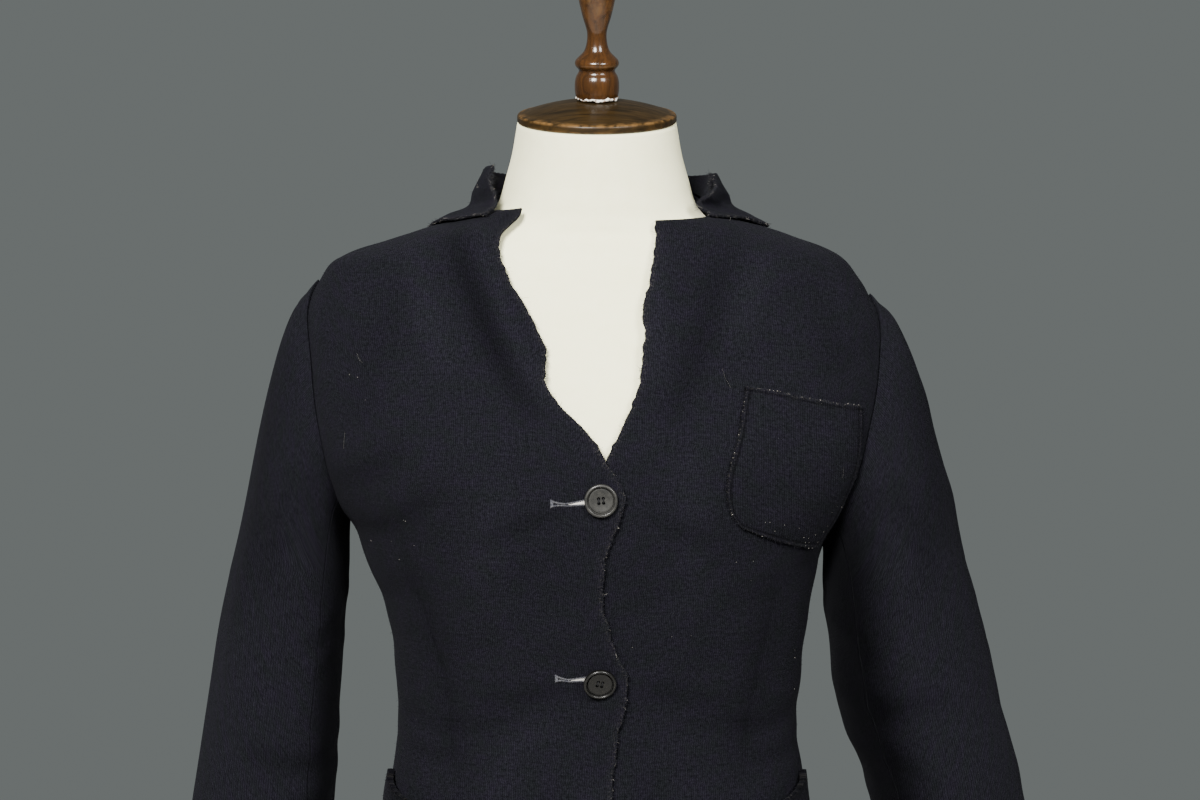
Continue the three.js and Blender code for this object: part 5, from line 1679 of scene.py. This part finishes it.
def blend_colour(tree, share, first, second, kind="MIX"):
    """A colour between two, each given as red, green and blue or as a socket."""
    first, second = (
        value if isinstance(value, bpy.types.NodeSocket) else (*value, 1.0) for value in (first, second)
    )
    inputs = {0: share, 6: first, 7: second}
    node = add_node(tree, "ShaderNodeMix", inputs, data_type="RGBA", blend_type=kind)
    return node.outputs[2]


def shade_of(tree, colour, value, share=1.0):
    """A colour made lighter or darker by a value that varies over the surface."""
    grey = add_node(tree, "ShaderNodeCombineColor", {0: value, 1: value, 2: value}).outputs[0]
    return blend_colour(tree, share, colour, grey, "MULTIPLY")


def fine_noise(tree, vector, scale, detail=3.0, roughness=0.5, distortion=0.0):
    values = {
        "Vector": vector, "Scale": scale, "Detail": detail,
        "Roughness": roughness, "Distortion": distortion,
    }
    return add_node(tree, "ShaderNodeTexNoise", values).outputs["Fac"]


def new_group(name, inputs, outputs):
    group = bpy.data.node_groups.new(name, "ShaderNodeTree")
    for label, kind, value in inputs:
        socket = group.interface.new_socket(label, in_out="INPUT", socket_type=kind)
        if value is not None:
            socket.default_value = value
    for label in outputs:
        group.interface.new_socket(label, in_out="OUTPUT", socket_type="NodeSocketFloat")
    return group, group.nodes.new("NodeGroupInput"), group.nodes.new("NodeGroupOutput")


def knit_group():
    """Knit stitches on a cloth's own coordinates: wales and courses, felted over and mottled."""
    group, start, end = new_group(
        "knit_stitches",
        (
            ("Weave", "NodeSocketVector", None),
            ("Wales", "NodeSocketFloat", 760.0),
            ("Courses", "NodeSocketFloat", 560.0),
            ("Felting", "NodeSocketFloat", 0.5),
        ),
        ("Height", "Rib", "Mottle", "Fleck"),
    )
    weave = start.outputs["Weave"]
    drift = calculate(group, "SUBTRACT", fine_noise(group, weave, 170.0, 2.0), 0.5)
    parts = add_node(group, "ShaderNodeSeparateXYZ", {0: weave})
    across = calculate(group, "ADD", parts.outputs["X"], calculate(group, "MULTIPLY", drift, 0.0011))
    wale = calculate(group, "FRACT", calculate(group, "MULTIPLY", across, start.outputs["Wales"]))
    slant = calculate(group, "ABSOLUTE", calculate(group, "SUBTRACT", wale, 0.5))
    rib = calculate(group, "SINE", calculate(group, "MULTIPLY", wale, math.pi))
    up = calculate(group, "MULTIPLY", parts.outputs["Y"], start.outputs["Courses"])
    course = calculate(group, "FRACT", calculate(group, "ADD", up, slant))
    leg = calculate(group, "SINE", calculate(group, "MULTIPLY", course, math.pi))
    stitch = calculate(group, "MULTIPLY", rib, calculate(group, "MULTIPLY_ADD", leg, 0.45, 0.55))
    felt = fine_noise(group, weave, 1500.0, 3.0, 0.7)
    kept = calculate(group, "SUBTRACT", 1.0, start.outputs["Felting"])
    stitched = calculate(group, "MULTIPLY", stitch, kept)
    height = calculate(group, "MULTIPLY_ADD", felt, start.outputs["Felting"], stitched)
    mottle = map_range(group, fine_noise(group, weave, 75.0, 5.0, 0.62), 0.36, 0.64)
    fleck = map_range(group, fine_noise(group, weave, 2600.0, 1.0), 0.70, 0.78)
    for label, socket in (("Height", height), ("Rib", rib), ("Mottle", mottle), ("Fleck", fleck)):
        group.links.new(socket, end.inputs[label])
    return group


def grain_group():
    """Walnut figure: long streaks and fine pores, on coordinates already stretched along the grain."""
    inputs = (("Vector", "NodeSocketVector", None),)
    group, start, end = new_group("walnut_grain", inputs, ("Figure", "Pores"))
    streaks = fine_noise(group, start.outputs["Vector"], 1.0, 6.0, 0.6, 0.9)
    pores = fine_noise(group, start.outputs["Vector"], 5.5, 3.0, 0.6)
    group.links.new(map_range(group, streaks, 0.34, 0.66), end.inputs["Figure"])
    group.links.new(map_range(group, pores, 0.56, 0.68), end.inputs["Pores"])
    return group


knit_nodes = knit_group()
grain_nodes = grain_group()


def new_material(name, colour, roughness, constants=None):
    """A material with one Principled shader, whose constant values sit on its own sockets."""
    material = bpy.data.materials.new(name)
    material.use_nodes = True
    shader = material.node_tree.nodes["Principled BSDF"]
    shader.inputs["Base Color"].default_value = (*colour, 1)
    shader.inputs["Roughness"].default_value = roughness
    for key, value in (constants or {}).items():
        shader.inputs[key].default_value = value
    return material, material.node_tree, shader


def add_bump(tree, shader, height, distance, strength=1.0):
    inputs = {"Height": height, "Distance": distance, "Strength": strength}
    bump = add_node(tree, "ShaderNodeBump", inputs)
    tree.links.new(bump.outputs["Normal"], shader.inputs["Normal"])


def attribute(tree, name):
    return add_node(tree, "ShaderNodeAttribute", attribute_name=name).outputs["Fac"]


def object_places(tree, scale=(1, 1, 1)):
    source = add_node(tree, "ShaderNodeTexCoord").outputs["Object"]
    return add_node(tree, "ShaderNodeMapping", {"Vector": source, "Scale": scale}).outputs["Vector"]


def knit_on(tree, wales, courses, felting):
    """The weave's own coordinates, and knit stitches on them by their number in a metre."""
    weave = add_node(tree, "ShaderNodeUVMap", uv_map="weave").outputs["UV"]
    values = {"Weave": weave, "Wales": wales, "Courses": courses, "Felting": felting}
    return weave, add_node(tree, "ShaderNodeGroup", values, node_tree=knit_nodes)


def boiled_knit_material():
    """Felted wool in dark navy, torn and paler at a cut; painted highlight on the stitches and ridges,
    painted shade between the stitches, in folds and on the sleeves' inner sides.
    """
    constants = {
        "Specular IOR Level": 0.02,
        "Sheen Weight": 0.012,
        "Sheen Roughness": 0.5,
        "Sheen Tint": (0.75, 0.78, 0.9, 1),
    }
    material, tree, shader = new_material("boiled_knit", (0.01, 0.01, 0.014), 0.95, constants)
    weave, knit = knit_on(tree, 620.0, 480.0, 0.72)
    mottle = knit.outputs["Mottle"]
    base = blend_colour(tree, mottle, (0.0062, 0.0068, 0.0083), (0.0076, 0.0068, 0.0107))
    # Painted shade between the stitches and painted highlight on them, by the knit's height
    stitch_shading = map_range(tree, knit.outputs["Height"], 0.28, 0.72, 0.45, 1.5)
    shaded = shade_of(tree, base, stitch_shading)
    heather = map_range(tree, fine_noise(tree, weave, 430.0, 4.0, 0.85), 0.34, 0.66, 0.3, 1.75)
    shaded = shade_of(tree, shaded, heather, 0.8)
    flecks = calculate(tree, "MULTIPLY", knit.outputs["Fleck"], 0.35)
    flecked = blend_colour(tree, flecks, shaded, (0.07, 0.07, 0.075))
    torn = map_range(tree, fine_noise(tree, weave, 700.0, 3.0, 0.7), 0.52, 0.66, 0.0, 0.9)
    rim = calculate(tree, "MULTIPLY", attribute(tree, "raw"), torn)
    frayed = blend_colour(tree, rim, flecked, (0.050, 0.047, 0.045))
    # Painted shade in folds, along stitched lines and on the sleeves' inner sides; painted highlight on
    # ridges
    painted_shading = map_range(tree, attribute(tree, "hollow"), -0.5, 1.0, 1.2, 0.16)
    tree.links.new(shade_of(tree, frayed, painted_shading), shader.inputs["Base Color"])
    tree.links.new(map_range(tree, mottle, 0, 1, 0.9, 1.0), shader.inputs["Roughness"])
    add_bump(tree, shader, knit.outputs["Height"], 0.7 * MM, 1.0)
    return material


def jersey_material():
    """Fine cream cotton, stretched smooth over the form."""
    constants = {"Specular IOR Level": 0.25, "Sheen Weight": 0.1}
    material, tree, shader = new_material("cotton_jersey", (0.86, 0.84, 0.7), 0.85, constants)
    _, knit = knit_on(tree, 1250.0, 1500.0, 0.35)
    height = knit.outputs["Height"]
    base = blend_colour(tree, knit.outputs["Mottle"], (0.945, 0.922, 0.60), (0.97, 0.948, 0.64))
    tree.links.new(base, shader.inputs["Base Color"])
    tree.links.new(map_range(tree, height, 0, 1, 0.8, 0.92), shader.inputs["Roughness"])
    add_bump(tree, shader, height, 0.1 * MM, 0.5)
    return material


def walnut_material(name, stretch, dark, mid, gloss):
    """Dark walnut stain under varnish, rubbed golden where the piece is worn."""
    constants = {
        "Specular IOR Level": mix(0.1, 0.25, gloss),
        "Coat Weight": mix(0.05, 0.38, gloss),
        "Coat Roughness": mix(0.28, 0.13, gloss),
    }
    material, tree, shader = new_material(name, mid, 0.3, constants)
    places = {"Vector": object_places(tree, stretch)}
    grain = add_node(tree, "ShaderNodeGroup", places, node_tree=grain_nodes)
    figure = blend_colour(tree, grain.outputs["Figure"], dark, mid)
    pores = calculate(tree, "MULTIPLY", grain.outputs["Pores"], 0.35)
    pored = blend_colour(tree, pores, figure, (0.009, 0.005, 0.002))
    patches = map_range(tree, fine_noise(tree, object_places(tree), 110.0, 4.0, 0.65), 0.42, 0.60)
    rubbed = calculate(tree, "MULTIPLY", attribute(tree, "worn"), patches)
    worn = blend_colour(tree, rubbed, pored, (0.125, 0.066, 0.021))
    tree.links.new(worn, shader.inputs["Base Color"])
    dullness = mix(0.5, 0.26, gloss)
    uneven = map_range(tree, grain.outputs["Figure"], 0, 1, dullness, dullness - 0.08)
    tree.links.new(uneven, shader.inputs["Roughness"])
    add_bump(tree, shader, grain.outputs["Pores"], -0.05 * MM, 0.5)
    return material


def resin_material(name, dark, light):
    """Cloudy button resin, polished and lightly scuffed."""
    constants = {"Specular IOR Level": 0.3, "Coat Weight": 0.22, "Coat Roughness": 0.14}
    material, tree, shader = new_material(name, dark, 0.3, constants)
    clouds = fine_noise(tree, object_places(tree), 260.0, 4.0, 0.6)
    tone = map_range(tree, clouds, 0.35, 0.65)
    tree.links.new(blend_colour(tree, tone, dark, light), shader.inputs["Base Color"])
    scuffs = fine_noise(tree, object_places(tree), 1500.0, 3.0, 0.7)
    tree.links.new(map_range(tree, scuffs, 0.3, 0.7, 0.34, 0.5), shader.inputs["Roughness"])
    add_bump(tree, shader, scuffs, 0.02 * MM, 0.4)
    return material


def fibre_material(name, dark, pale):
    """Wool or thread, from dark to pale by each strand's own tint."""
    material, tree, shader = new_material(name, dark, 0.85, {"Specular IOR Level": 0.2})
    uneven = map_range(tree, fine_noise(tree, object_places(tree), 700.0, 2.0), 0.3, 0.7, 0.7, 1.0)
    share = calculate(tree, "MULTIPLY", attribute(tree, "tint"), uneven)
    tree.links.new(blend_colour(tree, share, dark, pale), shader.inputs["Base Color"])
    add_bump(tree, shader, fine_noise(tree, object_places(tree), 4200.0, 1.0), 0.05 * MM, 0.5)
    return material


def steel_material():
    """Steel brushed round the pole."""
    metal = {"Metallic": 1.0}
    material, tree, shader = new_material("brushed_steel", (0.45, 0.46, 0.47), 0.3, metal)
    brushed = fine_noise(tree, object_places(tree, (90, 90, 2600)), 1.0, 3.0, 0.6)
    tree.links.new(map_range(tree, brushed, 0.3, 0.7, 0.22, 0.42), shader.inputs["Roughness"])
    tone = blend_colour(tree, brushed, (0.40, 0.41, 0.42), (0.52, 0.53, 0.54))
    tree.links.new(tone, shader.inputs["Base Color"])
    add_bump(tree, shader, brushed, 0.01 * MM, 0.3)
    return material


def glue_material():
    """Whitish where the glue is thick, and brown where the wood shows through."""
    material, tree, shader = new_material("dried_glue", (0.7, 0.68, 0.62), 0.5)
    spots = fine_noise(tree, object_places(tree), 420.0, 4.0, 0.6)
    cover = map_range(tree, spots, 0.42, 0.56)
    tone = blend_colour(tree, cover, (0.16, 0.09, 0.05), (0.78, 0.76, 0.7))
    tree.links.new(tone, shader.inputs["Base Color"])
    add_bump(tree, shader, spots, 0.2 * MM, 0.8)
    return material


def give(material, pieces):
    for piece in pieces:
        piece.data.materials.clear()
        piece.data.materials.append(material)


# Walnut: how the grain is stretched on each axis, the dark and mid stain, and the varnish's gloss
WALNUT = {
    "walnut_disc": {
        "stretch": (22, 240, 240),
        "dark": (0.0085, 0.0052, 0.0018),
        "mid": (0.030, 0.0170, 0.0050),
        "gloss": 0.2,
    },
    "walnut_spindle": {
        "stretch": (230, 230, 16),
        "dark": (0.023, 0.0098, 0.0030),
        "mid": (0.056, 0.0225, 0.0058),
        "gloss": 1.0,
    },
}
disc_walnut, spindle_walnut = (walnut_material(name, **look) for name, look in WALNUT.items())

give(boiled_knit_material(), cloth_pieces)
give(jersey_material(), [form_piece])
give(disc_walnut, [cap_piece, plate_piece, base_piece])
give(spindle_walnut, [finial_piece])
give(glue_material(), [glue_piece])
give(steel_material(), [pole_piece])
give(resin_material("grey_resin", (0.011, 0.011, 0.0105), (0.023, 0.0225, 0.02)), button_pieces[:1])
give(resin_material("dark_resin", (0.0012, 0.0012, 0.001), (0.0035, 0.0033, 0.0028)), button_pieces[1:])
give(fibre_material("black_thread", (0.008, 0.008, 0.009), (0.05, 0.05, 0.055)), thread_pieces)
give(fibre_material("buttonhole_thread", (0.03, 0.032, 0.045), (0.62, 0.6, 0.55)), buttonhole_pieces)
give(fibre_material("wool_fibre", (0.011, 0.0115, 0.016), (0.30, 0.28, 0.25)), fibre_pieces)


def make_camera():
    camera = bpy.data.cameras.new("camera")
    camera.lens = LENS
    camera.sensor_width = SENSOR_WIDTH
    camera.clip_end = 20
    holder = bpy.data.objects.new("camera", camera)
    holder.location = CAMERA_PLACE
    holder.rotation_euler = (math.pi / 2 - CAMERA_PITCH, 0, 0)
    bpy.context.collection.objects.link(holder)
    bpy.context.scene.camera = holder


# Studio lights: place, the point each is aimed at, the side of its square, power, colour, and
# whether it may be seen mirrored in the varnish and the resin
LIGHTS = {
    "key": ((-0.8, -2.6, 2.05), (0, 0, 0.66), 0.9, 262, (1, 0.985, 0.95), True),
    "fill": ((1.5, -2.25, 1.9), (0, 0, 0.64), 0.9, 98, (1, 0.99, 0.97), True),
    "back": ((-1.3, 2.3, 2.6), (0, 0, 0.5), 1.3, 80, (1, 0.99, 0.97), False),
    "top": ((0, 0.5, 2.8), (0, 0, 0.7), 1.4, 10, (1, 1, 1), False),
}
BACKDROP = (0.145, 0.16, 0.157)
FLOOR = {"radius": 1.6, "paint": (0.4, 0.39, 0.37), "roughness": 0.8}


def soft_light(name, place, aim, size, power, colour, mirrored):
    light = bpy.data.lights.new(name, "AREA")
    light.shape = "RECTANGLE"
    light.size = size
    light.size_y = size
    light.energy = power
    light.color = colour
    holder = bpy.data.objects.new(name, light)
    holder.location = place
    holder.visible_glossy = mirrored
    holder.rotation_euler = (Vector(aim) - Vector(place)).to_track_quat("-Z", "Y").to_euler()
    bpy.context.collection.objects.link(holder)


def make_studio():
    bpy.ops.object.select_all(action="DESELECT")
    bpy.ops.mesh.primitive_circle_add(vertices=96, radius=FLOOR["radius"], fill_type="NGON")
    floor = bpy.context.object
    floor.name = "floor"
    floor_material, _, _ = new_material("floor_paint", FLOOR["paint"], FLOOR["roughness"])
    floor.data.materials.append(floor_material)
    for name, light in LIGHTS.items():
        soft_light(name, *light)
    world = bpy.data.worlds.new("studio")
    world.use_nodes = True
    background = world.node_tree.nodes["Background"]
    background.inputs["Color"].default_value = (*BACKDROP, 1)
    background.inputs["Strength"].default_value = 1.0
    bpy.context.scene.world = world


make_camera()
make_studio()
